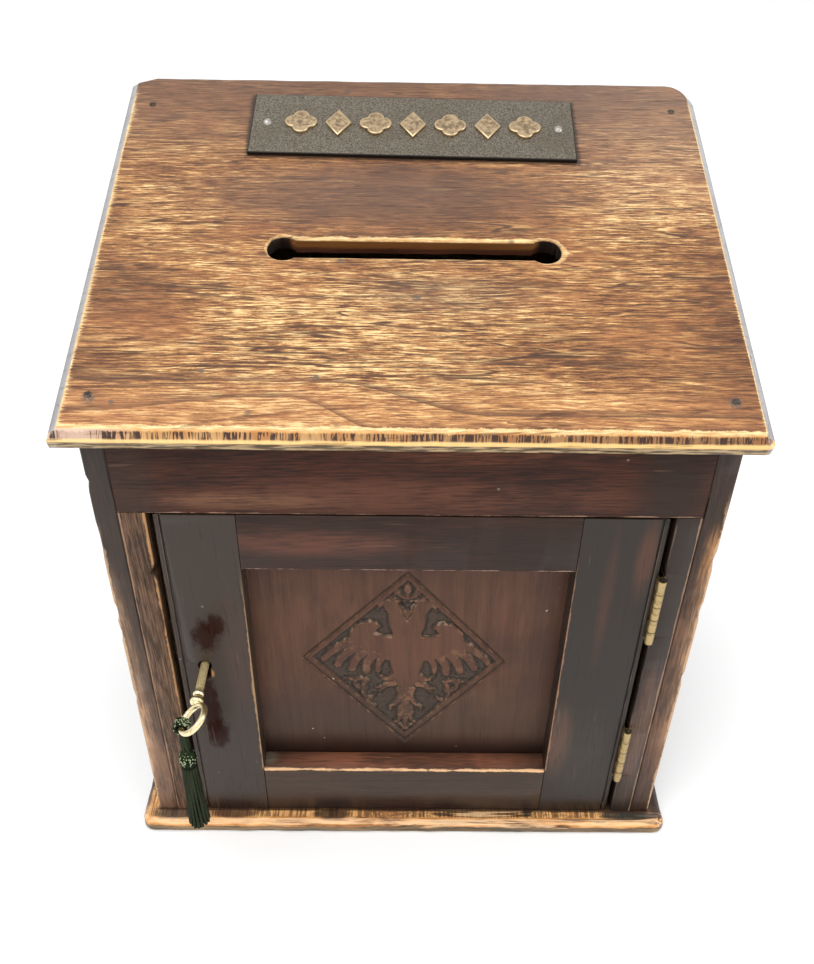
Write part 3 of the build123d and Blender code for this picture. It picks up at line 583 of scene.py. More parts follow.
round_arrises(top_solid, 0.0012, lambda e: in_slot(e) and all(abs(v.co.z) < 1e-5 for v in e.verts))
right_end = max(v.co.x for v in top_solid.verts)
round_arrises(top_solid, 0.0026, lambda e: abs(e.verts[0].co.z - e.verts[1].co.z) > 0.002 and all(
    v.co.x > right_end - 0.005 and v.co.y < 0.005 for v in e.verts), 4)
round_arrises(top_solid, 0.0007, lambda e: not in_slot(e) and e.calc_length() > 0.004)
sliced(top_solid, (0.003, 0.003, 0))
knocked(top_solid, 0.0004, 130)
for v in top_solid.verts:
    behind = v.co.y - (slope_length - 0.001)
    if behind > 0:
        broken = noise.noise((v.co.x * 60, 3, 0)) + 0.4 * noise.noise((v.co.x * 190, 7, 0))
        v.co.y -= min(behind / 0.003, 1) * 0.0011 * max(0, 0.45 + broken)
bmesh.ops.transform(top_solid, matrix=to_slope.inverted(), verts=top_solid.verts)
settle(new_piece("sloping_top", top_solid, top_oak()), "case", "top_board", slot="worn_oak")

# ---- carcass: sides, front stiles, front rail ----
# Oak boards stained almost black and waxed, with a satin shine. The front edges of the sides
# and some arrises of the stiles are rubbed and chipped back to bare tan wood.

FRONT = -0.0935
ALONG = {"X": (0, 0, 0), "Y": (0, 0, -math.pi / 2), "Z": (0, math.pi / 2, 0)}


def oval(place, centre, size):
    """How far a place is from a centre, 1 at a size along each axis."""
    return how_far((place - centre) * tuple(1 / s for s in size))


def rubbed_line(place, along, at, reach, span):
    """1 along one arris, ragged at its sides; at gives the arris across the board, in order of
    axis, and span the one or two stretches along it where the wear grows from nothing to full."""
    parts = parted(place)
    lengthwise = parts.pop("XYZ".index(along))
    square = reduce(add, [(part - value) * (part - value) for part, value in zip(parts, at)])
    stretch = [110, 110, 110]
    stretch["XYZ".index(along)] = 45
    ragged = ease(streaked(place, stretch, 6, 0.75), 0.3, 0.7, 0.15, 1.85)
    share = figured("SQRT", square) / (ragged * reach)
    wear = ease(share, 0.5, 1.1, 1, 0)
    for start, end in zip(span[::2], span[1::2]):
        wear *= ease(lengthwise, start, end)
    return wear


def dark_oak(name, along, seed, deep, red, red_share, shine, lines, patches, rough=0.3, streaky=1.0,
             bare_of_wax=()):
    """Dark stained oak for one board. Each of lines is an arris, reach, share, span and colour of
    wear; each of patches a centre, size, share and colour of rubbed wood, deeper stain or painted
    shade; each of bare_of_wax a centre and size where the shine is gone and the stain shows dark red."""
    finish, shader, place = new_finish(name)
    log = stretched(place, (1, 1, 1), (0, 0, 0), ALONG[along])
    log = stretched(log, (1, 1, 1), (seed, 0.013 * seed, 0.03), (0.1 * seed, 0.02, 0.015))
    grain = use(oak_grain, {"Place": log, "Ring Width": 0.004, "Pore Length": 0.018})
    marks = use(scratches, {"Place": log, "Size": 0.8})
    fine = streaked(log, (70, 1300, 1300), 3, 0.7)
    level = grain["Streaks"] * (0.3 * streaky) + grain["Clouds"] * 0.45
    level += (fine - 0.5) * (2.6 * streaky)
    colour = tint(held(level * red_share), deep, red)
    # patches of rubbed wood and deeper stain, and some of painted shade
    for centre, size, share, worn in patches:
        near = ease(oval(place, centre, size), 0.25, 1.0, 1, 0)
        broken = ease(fine * 0.9 + grain["Clouds"] * 0.35, 0.42, 0.78)
        near *= broken * 0.75 + 0.25
        colour = tint(held(near * share), colour, worn)
    gloss = shine
    for centre, size in bare_of_wax:
        far = oval(place, centre, size) + (streaked(place, (260, 260, 110), 4, 0.65) - 0.5) * 1.6
        gone = ease(far, 0.45, 1.05, 0.9, 0)
        colour = tint(gone, colour, (0.020, 0.006, 0.004))
        gloss *= gone * -0.85 + 1.0
    bare = []
    for at, reach, share, span, worn in lines:
        line = rubbed_line(place, along, at, reach, span) * share
        colour = tint(line, colour, worn)
        bare.append(line)
    colour = tint(grain["Pores"] * 0.45, colour, (0.010, 0.005, 0.004))
    colour = tint(marks["Scratches"] * 0.22, colour, (0.2, 0.12, 0.07))
    colour = tint(marks["Specks"] * 0.245, colour, (0.45, 0.40, 0.33))
    height = fine * (0.35 * streaky) - grain["Pores"] * 0.5
    height += grain["Clouds"] * 0.3
    dull = held(rough + grain["Clouds"] * 0.14 + reduce(larger, bare) * 0.2)
    feed(shader, Base_Color=colour, Roughness=dull, Specular_IOR_Level=gloss,
         Normal=relief(height, 0.35, 0.00022))
    return finish


def board(name, node, along, seed, steps, body="case", width=0.0005, depth=0.0003, shape=None, **looks):
    """A CAD board made again with rounded, knocked arrises and its own finish."""
    solid = merged(node)
    round_arrises(solid, width, lambda e: e.calc_length() > 0.012 and all(
        f.calc_area() / e.calc_length() > 0.0016 for f in e.link_faces))
    sliced(solid, steps)
    knocked(solid, depth, 120, seed, back=-0.08)
    if shape:
        shape(solid)
    piece = new_piece(name, solid, dark_oak(name + "_oak", along, seed, **looks))
    settle(piece, body, node, slot="stained_oak")


def chip(solid):
    """A splinter gone from the stile's inner arris, above the lock."""
    for v in solid.verts:
        near = max(abs(v.co.z - 0.1755) / 0.0030, abs(v.co.y - FRONT) / 0.005)
        if near < 1 and v.co.x > -0.1118:
            v.co.x -= 0.0022 * (1 - near ** 2)


def side_chips(edge_x, places):
    """Dents in a side board's outer front arris: each a height, a length and a depth."""
    def dented(solid):
        for v in solid.verts:
            if abs(v.co.x - edge_x) > 0.004 or v.co.y > -0.0885:
                continue
            for z, length, depth in places:
                near = abs(v.co.z - z) / length
                if near < 1:
                    share = (1 - near ** 2) * (1 - (v.co.y - FRONT) / 0.006)
                    v.co.x -= math.copysign(depth * max(0, share), edge_x)
    return dented


board("left_side", "left_side_board", "Z", 1.3, depth=0.0006, steps=(0, 0.012, 0.003),
      shape=side_chips(-0.13, ((0.2235, 0.003, 0.0009), (0.152, 0.006, 0.0010), (0.139, 0.005, 0.0007),
                               (0.096, 0.003, 0.0006), (0.193, 0.010, 0.0005))),
      deep=(0.022, 0.015, 0.011), red=(0.07, 0.036, 0.024), red_share=0.5, shine=0.3,
      lines=(((-0.130, FRONT), 0.0014, 0.85, (0.21, 0.17), (0.56, 0.36, 0.21)),
             ((-0.120, FRONT), 0.0004, 0.6, (0.20, 0.17), (0.26, 0.15, 0.09))),
      patches=(((-0.126, FRONT, 0.060), (0.013, 0.01, 0.125), 0.9, (0.22, 0.115, 0.066)),
               ((-0.129, FRONT, 0.105), (0.0060, 0.01, 0.085), 0.9, (0.55, 0.33, 0.19))))
board("right_side", "right_side_board", "Z", 4.1, depth=0.0006, steps=(0, 0.012, 0.003),
      shape=side_chips(0.13, ((0.185, 0.004, 0.0008), (0.112, 0.003, 0.0009), (0.155, 0.006, 0.0006))),
      deep=(0.022, 0.013, 0.009), red=(0.08, 0.036, 0.021), red_share=0.55, shine=0.25,
      lines=(((0.130, FRONT), 0.0013, 0.9, (0.225, 0.20), (0.52, 0.32, 0.18)),
             ((0.120, FRONT), 0.0004, 0.5, (), (0.28, 0.16, 0.09))),
      patches=(((0.126, FRONT, 0.110), (0.011, 0.01, 0.115), 0.75, (0.20, 0.095, 0.050)),
               ((0.1285, FRONT, 0.120), (0.0045, 0.01, 0.09), 0.75, (0.38, 0.22, 0.12)),
               ((0.1275, FRONT, 0.182), (0.005, 0.01, 0.030), 0.8, (0.48, 0.23, 0.09))))
board("lock_stile_front", "lock_side_stile", "Z", 2.2, steps=(0, 0.008, 0.0025), shape=chip,
      deep=(0.036, 0.020, 0.012), red=(0.19, 0.105, 0.062), red_share=0.85, shine=0.15, rough=0.42,
      streaky=1.4,
      lines=(((-0.1093, FRONT), 0.0009, 0.75, (0.005, 0.09), (0.50, 0.27, 0.12)),
             ((-0.120, FRONT), 0.0005, 0.7, (), (0.36, 0.22, 0.14))),
      patches=(((-0.1115, -0.092, 0.1755), (0.0030, 0.01, 0.0040), 1.0, (0.035, 0.022, 0.015)),
               ((-0.1145, FRONT, 0.10), (0.012, 0.01, 0.08), 0.35, (0.26, 0.15, 0.09))))
board("hinge_stile_front", "hinge_side_stile", "Z", 5.7, steps=(0, 0.008, 0.003),
      deep=(0.020, 0.014, 0.010), red=(0.050, 0.022, 0.014), red_share=0.4, shine=0.28, streaky=0.6,
      lines=(((0.120, FRONT), 0.0005, 0.55, (), (0.44, 0.26, 0.16)),
             ((0.1100, FRONT), 0.0004, 0.4, (), (0.22, 0.14, 0.10))),
      patches=(((0.1155, FRONT, 0.070), (0.007, 0.01, 0.07), 0.7, (0.15, 0.075, 0.046)),))
board("front_rail_worn", "front_rail", "X", 3.4, steps=(0.0045, 0.008, 0),
      deep=(0.022, 0.0085, 0.0055), red=(0.085, 0.027, 0.014), red_share=0.85, shine=0.13, rough=0.4,
      streaky=1.1,
      lines=(((FRONT, 0.2082), 0.00065, 0.75, (), (0.46, 0.27, 0.17)),),
      patches=(((0.0, FRONT, 0.2175), (0.13, 0.01, 0.012), 0.8, (0.115, 0.044, 0.025)),
               ((-0.07, FRONT, 0.2150), (0.055, 0.01, 0.006), 0.5, (0.22, 0.105, 0.056)),
               ((0.03, FRONT, 0.2400), (0.06, 0.01, 0.008), 0.7, (0.17, 0.060, 0.030)),
               ((0.105, FRONT, 0.225), (0.022, 0.01, 0.05), 0.8, (0.022, 0.016, 0.012)),
               ((-0.113, FRONT, 0.225), (0.014, 0.01, 0.05), 0.6, (0.036, 0.026, 0.020))))

# ---- base ----
# One oak board, wider than the box, with a rounded edge. Its rounding in front is worn to
# orange gold; the dark stain stays at the sides and behind, the low edge is dark olive as painted
# shade, and a painted shadow runs along the foot of the box.


def base_oak():
    """Bands of wear that follow the rounded front edge, in short uneven strokes."""
    finish, shader, place = new_finish("base_oak")
    grain = use(oak_grain, {"Place": stretched(place, (1, 1, 1), (0.4, 0.03, 0.05)), "Ring Width": 0.005,
                            "Pore Length": 0.02})
    across, back, up = parted(place)
    out = larger(FRONT - back, -0.130 - across)
    strokes = streaked(place, (26, 420, 420), 4, 0.7)
    broad = streaked(place, (24, 60, 60), 4, 0.65, 0.3)
    level = ease(strokes, 0.3, 0.7) * 0.45 + ease(broad, 0.3, 0.7) * 0.55
    colour = toned(level, (0.15, (0.11, 0.042, 0.017)), (0.5, (0.57, 0.245, 0.072)),
                   (1.05 / 1.15, (0.88, 0.46, 0.165)))
    uneven = (streaked(place, (60, 200, 200), 5, 0.72) - 0.5) * 0.004
    height = up + uneven
    # the flat strip on top, hatched by a plane's teeth, and a painted highlight where it turns down
    flat = ease(out + uneven * 0.6, 0.0040, 0.0052, 1, 0)
    hatch = ease(streaked(place, (950, 50, 50), 1, 0.5), 0.47, 0.56)
    hatch *= ease(broad, 0.36, 0.52, 0.35, 1)
    strip = tint(ease(broad, 0.35, 0.6), (0.46, 0.195, 0.072), (0.86, 0.46, 0.175))
    strip = tint(hatch * 0.7, strip, (0.050, 0.024, 0.010))
    flecks = ease(streaked(place, (420, 700, 700), 4, 0.7), 0.47, 0.58)
    flecks *= ease(across, -0.035, -0.01, 0, 0.6)
    strip = tint(flecks, strip, (0.050, 0.026, 0.014))
    colour = tint(flat, colour, strip)
    # cracks that run along the rounding to the right, each pale on one side
    crack = streaked(place, (9, 210, 210), 2, 0.5) - 0.5
    to_right = ease(across, -0.045, -0.01)
    pale_side = ease(abs(crack - 0.05), 0.012, 0.035, 0.7, 0)
    colour = tint(pale_side * to_right, colour, (0.66, 0.44, 0.25))
    crack = ease(abs(crack), 0.012, 0.035, 0.85, 0)
    colour = tint(crack * to_right, colour, (0.035, 0.017, 0.009))
    # a painted highlight along the top of the rounding
    turn_down_highlight = ease(height, 0.0058, 0.0066) * ease(out, 0.0050, 0.0058)
    turn_down_highlight *= ease(strokes, 0.36, 0.56)
    colour = tint(turn_down_highlight * 0.65, colour, (0.92, 0.61, 0.34))
    # dark olive low on the rounding, where it turns under: painted shade
    low = ease(height, 0.0046, 0.0056, 0.95, 0)
    olive_shade = tint(ease(strokes, 0.3, 0.7), (0.024, 0.019, 0.010), (0.25, 0.165, 0.080))
    colour = tint(low, colour, olive_shade)
    beside = larger(ease(across, 0.1310, 0.1335), ease(across, -0.1366, -0.1350, 1, 0))
    beside *= ease(back, -0.0995, -0.0875)
    rest = larger(beside, ease(out, -0.004, -0.001, 1, 0))
    grey = tint(ease(broad, 0.3, 0.7), (0.030, 0.024, 0.020), (0.10, 0.068, 0.045))
    colour = tint(rest * 0.92, colour, grey)
    for x, y, size, stain in ((0.118, -0.0962, (55, 290, 60), (0.036, 0.038, 0.033)),
                              (-0.119, -0.0965, (60, 250, 60), (0.045, 0.036, 0.030)),
                              (-0.090, -0.0960, (60, 290, 60), (0.075, 0.032, 0.018)),
                              (-0.0385, -0.0965, (80, 250, 60), (0.026, 0.016, 0.011)),
                              (0.0656, -0.0945, (230, 270, 60), (0.014, 0.014, 0.017))):
        stained = how_far((place - (x, y, 0.008)) * size)
        stained += (broad - 0.5) * 1.2
        colour = tint(ease(stained, 0.6, 1.1, 0.88, 0), colour, stain)
    # a dark band where the base meets the box: painted shadow at its foot
    foot_shadow = out + uneven * 0.5
    colour = tint(ease(foot_shadow, 0.0003, 0.0015, 0.9, 0), colour, (0.030, 0.015, 0.010))
    colour = tint(grain["Pores"] * 0.35, colour, (0.05, 0.022, 0.012))
    bump = strokes - grain["Pores"] * 0.5
    feed(shader, Base_Color=colour, Normal=relief(bump, 0.4, 0.0003), Specular_IOR_Level=0.35,
         Roughness=0.3 + grain["Clouds"] * 0.2)
    return finish


base_solid = merged("base_board")
sliced(base_solid, (0.004, 0.006, 0))
for v in base_solid.verts:
    rim = max(abs(v.co.x) - 0.1345, abs(v.co.y) - 0.098)
    if rim > 0 and 0.0005 < v.co.z < 0.0079:
        v.co -= v.normal * 0.0006 * max(0, 0.4 + noise.noise(v.co * 90) + 0.5 * noise.noise(v.co * 260))
settle(new_piece("base_moulding", base_solid, base_oak()), "case", "base_board", slot="stained_oak")

# ---- door frame ----
# Two stiles and two rails of the same dark oak, mortised together round the panel. The inner
# arrises show bare wood, brightest on the ledge over the bottom rail where hands rest.

board("door_stile_left", "door_lock_stile", "Z", 6.6, body="door", steps=(0, 0.008, 0.003),
      width=0.0004,
      deep=(0.034, 0.023, 0.016), red=(0.050, 0.028, 0.018), red_share=0.35, shine=0.28, rough=0.24,
      streaky=0.4,
      lines=(((-0.0725, FRONT), 0.0008, 0.75, (0.185, 0.13, 0.041, 0.044), (0.40, 0.24, 0.12)),
             ((-0.1040, FRONT), 0.00035, 0.4, (), (0.22, 0.16, 0.12)),
             ((-0.1064, FRONT), 0.00045, 0.5, (), (0.26, 0.19, 0.14))),
      bare_of_wax=(((-0.0918, FRONT, 0.1375), (0.0070, 0.01, 0.0115)),
                   ((-0.0868, FRONT, 0.1440), (0.0065, 0.01, 0.0085)),
                   ((-0.0946, FRONT, 0.0900), (0.0058, 0.01, 0.0275)),
                   ((FRONT, FRONT, 0.0710), (0.0076, 0.01, 0.0115))),
      patches=(((-0.079, FRONT, 0.125), (0.008, 0.01, 0.07), 0.5, (0.065, 0.030, 0.021)),
               ((-0.0913, -0.0925, 0.1128), (0.0014, 0.006, 0.0034), 0.8, (0.42, 0.20, 0.065)),
               # the door's foot painted darker: painted shade
               ((-0.09, FRONT, 0.010), (0.03, 0.01, 0.016), 1.0, (0.018, 0.007, 0.005))))
board("door_stile_right", "door_hinge_stile", "Z", 7.9, body="door", steps=(0, 0.008, 0.003),
      width=0.0004,
      deep=(0.020, 0.015, 0.011), red=(0.040, 0.020, 0.013), red_share=0.4, shine=0.28, rough=0.26,
      streaky=0.4,
      lines=(((0.0716, FRONT), 0.0007, 0.7, (0.19, 0.16, 0.041, 0.044), (0.34, 0.18, 0.10)),
             ((0.1051, FRONT), 0.00035, 0.4, (), (0.20, 0.14, 0.10))),
      patches=(((0.1005, FRONT, 0.185), (0.006, 0.01, 0.030), 0.9, (0.080, 0.032, 0.017)),
               ((0.0865, FRONT, 0.160), (0.004, 0.01, 0.055), 0.7, (0.062, 0.024, 0.015)),
               ((0.076, FRONT, 0.065), (0.009, 0.01, 0.035), 0.7, (0.13, 0.06, 0.036)),
               ((0.09, FRONT, 0.050), (0.02, 0.01, 0.05), 0.5, (0.042, 0.034, 0.026)),
               # the door's foot painted darker: painted shade
               ((0.09, FRONT, 0.010), (0.03, 0.01, 0.013), 0.8, (0.016, 0.009, 0.007))))
board("door_rail_top", "door_top_rail", "X", 8.3, body="door", steps=(0.0045, 0.008, 0),
      width=0.0004,
      deep=(0.021, 0.012, 0.009), red=(0.070, 0.026, 0.015), red_share=0.55, shine=0.2, rough=0.34,
      lines=(((FRONT, 0.178), 0.0007, 0.9, (), (0.46, 0.28, 0.22)),),
      patches=(((-0.045, FRONT, 0.193), (0.06, 0.01, 0.010), 0.8, (0.12, 0.045, 0.027)),
               ((0.06, FRONT, 0.190), (0.05, 0.01, 0.02), 0.7, (0.022, 0.016, 0.012))))
board("door_rail_bottom", "door_bottom_rail", "X", 9.5, body="door", steps=(0.0045, 0.008, 0),
      width=0.0006,
      deep=(0.036, 0.023, 0.016), red=(0.085, 0.045, 0.028), red_share=0.6, shine=0.28, rough=0.3,
      lines=(((FRONT, 0.0418), 0.0010, 0.95, (), (0.76, 0.46, 0.24)),),
      patches=(((0.0, -0.0875, 0.0418), (0.10, 0.012, 0.0015), 0.9, (0.24, 0.085, 0.045)),
               ((-0.071, -0.086, 0.0418), (0.007, 0.006, 0.0020), 0.4, (0.26, 0.26, 0.20)),
               # the door's foot painted darker: painted shade
               ((0.0, FRONT, 0.010), (0.12, 0.01, 0.016), 1.0, (0.018, 0.007, 0.005))))

# ---- carved panel ----
# A reddish oak panel held in the door's grooves. A double-headed eagle, the old heraldic
# figure, stands on a ground cut away and punched inside a lozenge of two cut lines.

panel_low, panel_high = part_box("door_panel")
panel_face = panel_low.y
carving_centre = ((panel_low.x + panel_high.x) / 2, (panel_low.z + panel_high.z) / 2 + 0.0018)
lozenge = {"left": 50.5, "right": 48.3, "above": 57.0, "below": 60.6}


def tapered(x, z, strokes):
    """Distance in mm to the nearest of some strokes, each a start, an end and a half width at each."""
    best = np.full(x.shape, 1e3)
    for x0, z0, r0, x1, z1, r1 in strokes:
        dx, dz = x1 - x0, z1 - z0
        t = np.clip(((x - x0) * dx + (z - z0) * dz) / max(dx * dx + dz * dz, 1e-9), 0, 1)
        best = np.minimum(best, np.hypot(x - x0 - t * dx, z - z0 - t * dz) - (r0 + t * (r1 - r0)))
    return best


def bowed(x0, z0, r0, x1, z1, r1, bow, parts=5):
    """A bent stroke as short straight ones; bow is how far its middle stands off, in mm."""
    length = math.hypot(x1 - x0, z1 - z0)
    side = (-(z1 - z0) / length, (x1 - x0) / length)
    points = []
    for i in range(parts + 1):
        t = i / parts
        off = bow * 4 * t * (1 - t)
        points.append((x0 + t * (x1 - x0) + off * side[0], z0 + t * (z1 - z0) + off * side[1],
                       r0 + t * (r1 - r0)))
    return [(*a, *b) for a, b in zip(points, points[1:])]


# half of the figure, right of its middle line, in mm from the lozenge's middle
eagle_flesh = (
    bowed(0, 24, 2.0, 0.9, 29.2, 1.5, 0) + bowed(0, 19, 6.2, 0, 4, 9.2, 0)
    + bowed(0, 4, 9.2, 0, -12, 6.4, 0)
    + bowed(0, -10, 6.2, 0.4, -15.6, 5.4, 0) + bowed(3.0, 18, 4.2, 5.0, 29.5, 3.6, -0.8)
    + bowed(5.0, 31.0, 3.7, 7.4, 34.2, 3.6, -0.6) + bowed(8.8, 35.6, 2.4, 12.9, 33.2, 1.0, 0.8)
    + bowed(12.6, 33.2, 0.8, 13.6, 30.2, 0.3, 0.3)
    + bowed(6, 8.0, 6.0, 13.5, 8.6, 5.6, 0) + bowed(13.5, 8.6, 5.6, 20.5, 12.0, 6.2, 0)
    + bowed(17.6, 19.6, 3.9, 20.6, 17.4, 4.6, 0.4) + bowed(13.2, 20.0, 0.8, 17.0, 21.6, 2.2, 0.7)
    + bowed(20.6, 17.4, 4.6, 23.4, 12.6, 3.8, 0.6) + bowed(8, 2.5, 5.0, 14.5, 4.2, 4.4, 0))
eagle_feathers = (
    bowed(24.6, 10.2, 3.1, 39.8, -3.4, 1.5, 1.8) + bowed(22.0, 7.0, 3.1, 33.0, -6.6, 1.9, 1.8)
    + bowed(18.4, 4.6, 3.0, 26.2, -9.0, 2.0, 1.7) + bowed(14.4, 2.6, 2.7, 19.4, -10.6, 1.9, 1.5)
    + bowed(10.6, 0.6, 2.1, 13.6, -10.2, 1.2, 1.2))
eagle_quills = (
    bowed(25.4, 13.4, 0, 40.6, 0.2, 0, 2.0) + bowed(22.0, 10.6, 0, 33.6, -3.0, 0, 2.0)
    + bowed(18.4, 7.8, 0, 27.2, -6.0, 0, 1.9) + bowed(14.6, 5.2, 0, 20.4, -8.2, 0, 1.6))
eagle_legs = (
    bowed(6.0, -13.6, 2.4, 11.4, -15.4, 1.0, -0.8) + bowed(11.4, -15.4, 0.9, 13.4, -13.2, 0.5, 0.4)
    + bowed(6.2, -18.6, 2.4, 11.0, -22.0, 1.2, 0.8) + bowed(11.0, -22.0, 1.0, 14.6, -22.2, 0.5, 0.6)
    + bowed(11.0, -22.0, 0.9, 12.6, -25.6, 0.5, 0.5))
sprays = (
    bowed(15.4, -35.5, 0.9, 21.6, -23.5, 1.0, -1.4) + bowed(20.2, -23.0, 1.5, 19.0, -17.6, 1.2, -1.0)
    + bowed(19.0, -17.6, 1.2, 22.6, -15.8, 1.1, 0.8) + bowed(22.6, -15.8, 1.3, 25.2, -20.0, 1.0, 0.8)
    + bowed(25.2, -20.0, 1.0, 22.4, -22.8, 0.8, 0.6) + bowed(25.4, -17.0, 1.3, 30.2, -16.4, 0.6, 0.8)
    + bowed(18.0, -29.8, 1.1, 15.4, -27.2, 0.5, 0.6))
tail = (
    bowed(0, -19, 3.4, 0, -34.5, 2.4, 0) + bowed(3.0, -22.5, 1.9, 5.4, -34.0, 1.2, -1.6)
    + bowed(5.4, -34.0, 1.1, 7.6, -38.0, 0.8, 1.2) + bowed(0.8, -34, 1.9, 2.8, -43.0, 1.2, 1.0)
    + bowed(2.8, -43.0, 1.2, 5.4, -47.4, 0.8, -1.0) + bowed(0, -36, 2.2, 0, -52.4, 1.1, 0)
    + bowed(3.6, -49.2, 1.0, 1.2, -53.0, 0.8, -0.8))
crown = (
    bowed(0, 38.5, 0.7, 0, 42.5, 1.4, 0) + bowed(0, 43.5, 1.9, 0, 47.0, 1.2, 0)
    + bowed(0.8, 38.6, 1.0, 4.4, 43.4, 1.3, -1.2) + bowed(4.4, 43.4, 1.3, 5.6, 40.8, 0.8, 0.4)
    + bowed(1.6, 36.6, 0.8, 7.6, 38.8, 1.1, -0.8) + bowed(7.6, 38.8, 1.1, 10.6, 38.6, 0.6, 0.6)
    + bowed(11.6, 36.4, 0.9, 15.6, 33.6, 0.5, 0.6))


def inset_of(x, z):
    """Distance in mm inside the lozenge's outer cut line, which was set out a little askew."""
    z = z + 1.15 + 0.0235 * x
    across = np.where(x < 0, lozenge["left"], lozenge["right"])
    half = np.where(z < 0, lozenge["below"], lozenge["above"])
    return (1 - np.abs(x) / across - np.abs(z) / half) * across * half / np.hypot(across, half)


def carved_height(x, z):
    """Height of the carved face in mm, 0 at the panel's own face; x is from the middle line."""
    inset = inset_of(x, z)
    z = z + 0.03 * x
    mirrored = np.abs(x)
    field = 1 / (1 + np.exp(-(inset - 3.9) / 0.16))
    line = np.exp(-((inset - 0.8) / 0.75) ** 2)
    bead = np.exp(-((inset - 3.1) / 0.35) ** 2)
    body = tapered(mirrored, z, eagle_flesh)
    feathers = tapered(mirrored, z, eagle_feathers)
    small = np.minimum(np.minimum(tapered(mirrored, z, eagle_legs), tapered(mirrored, z, sprays)),
                       np.minimum(tapered(mirrored, z, tail), tapered(mirrored, z, crown)))

    def risen(distance, top, width):
        t = np.clip((-distance + width * 0.25) / width, 0, 1)
        return top * t * t * (3 - 2 * t)

    figure = np.maximum(np.maximum(risen(body, 1.12, 0.95), risen(feathers, 0.95, 1.0)),
                        risen(small, 0.8, 0.9))
    eye = np.hypot(mirrored - 9.2, z - 34.2)
    figure = figure - 0.35 * np.exp(-(eye / 0.55) ** 2)
    quills = tapered(mirrored, z, eagle_quills)
    figure = figure - 0.18 * np.exp(-(quills / 0.32) ** 2) * (feathers < 0)
    parting = tapered(mirrored, z, bowed(0, 25.0, 0, 2.6, 37.5, 0, -1.3))
    figure = figure - 0.9 * np.exp(-(parting / 0.55) ** 2)
    shoulder = tapered(mirrored, z, bowed(25, 10.0, 0, 9, 1.5, 0, 1.5, 8))
    figure = figure - 0.25 * np.exp(-(shoulder / 0.4) ** 2) * (body < 0.4)
    nearest = np.minimum(np.minimum(body, feathers), small)
    groove = np.exp(-((inset - 4.6) / 0.45) ** 2) + np.exp(-((nearest - 0.75) / 0.42) ** 2)
    return ((figure - 1.3 - 0.35 * np.minimum(groove, 1)) * field
            - (1.3 * line + 0.35 * bead) * (inset > -1.2))


def graded(low, high, fine_low, fine_high, fine=0.0005, coarse=0.006):
    """Stations that are close together in the carving and wide apart outside it."""
    before = np.linspace(low, fine_low, max(2, int((fine_low - low) / coarse) + 1))[:-1]
    within = np.linspace(fine_low, fine_high, int(round((fine_high - fine_low) / fine)) + 1)
    after = np.linspace(fine_high, high, max(2, int((high - fine_high) / coarse) + 1))[1:]
    return np.concatenate((before, within, after))


def slab(rows, columns):
    """The faces of a grid of points closed by a back whose points follow its rim, and that rim."""
    rim = [j for j in range(columns)] + [i * columns + columns - 1 for i in range(1, rows)]
    rim += [(rows - 1) * columns + j for j in range(columns - 2, -1, -1)]
    rim += [i * columns for i in range(rows - 2, 0, -1)]
    faces = [(i * columns + j, i * columns + j + 1, (i + 1) * columns + j + 1, (i + 1) * columns + j)
             for i in range(rows - 1) for j in range(columns - 1)]
    first = rows * columns
    for k, (a, b) in enumerate(zip(rim, rim[1:] + rim[:1])):
        faces.append((a, first + k, first + (k + 1) % len(rim), b))
    faces.append(tuple(first + k for k in range(len(rim) - 1, -1, -1)))
    return faces, rim


grid_x, grid_z = np.meshgrid(
    graded(panel_low.x, panel_high.x, carving_centre[0] - 0.0520, carving_centre[0] + 0.0500),
    graded(panel_low.z, panel_high.z, carving_centre[1] - 0.0630, carving_centre[1] + 0.0570))
local_x, local_z = (grid_x - carving_centre[0]) * 1000, (grid_z - carving_centre[1]) * 1000
heights = carved_height(local_x, local_z)
in_carving = (local_x > -51.8) & (local_x < 49.8) & (local_z > -62.8) & (local_z < 56.8)
heights = np.where(in_carving, heights, 0.0)
ground = np.clip(-heights / 1.3, 0, 1.3)
punched = np.array([[noise.noise((x * 1.7, 0, z * 1.7)) if g > 0.6 else 0.0 for x, z, g in zip(*rows)]
                    for rows in zip(local_x, local_z, ground)])
uneven = np.array([[noise.noise((x * 0.35, 5, z * 0.22)) for x, z in zip(*rows)]
                   for rows in zip(local_x, local_z)])
heights = heights + 0.16 * punched * (ground > 0.75) + 0.05 * uneven
faces, rim = slab(*grid_x.shape)
front = np.stack([grid_x, panel_face - np.minimum(heights, 0.0) / 1000, grid_z], -1).reshape(-1, 3)
back = [(grid_x.flat[k], panel_high.y, grid_z.flat[k]) for k in rim]
panel_mesh = bpy.data.meshes.new("carved_panel")
panel_mesh.from_pydata([tuple(v) for v in front] + back, [], faces)
sloped = np.gradient(heights, grid_z[:, 0] * 1000, axis=0)
# ledges whose faces turn upwards, stored for a painted highlight
ledge = np.clip(-sloped * 1.4 - 0.35, 0, 1) * (inset_of(local_x, local_z) > 5.0)
for name, values in (("ledge_highlight", ledge), ("sunk", ground)):
    layer = panel_mesh.attributes.new(name, "FLOAT", "POINT")
    layer.data.foreach_set("value", np.append(values, np.zeros(len(back))).astype(np.float32))


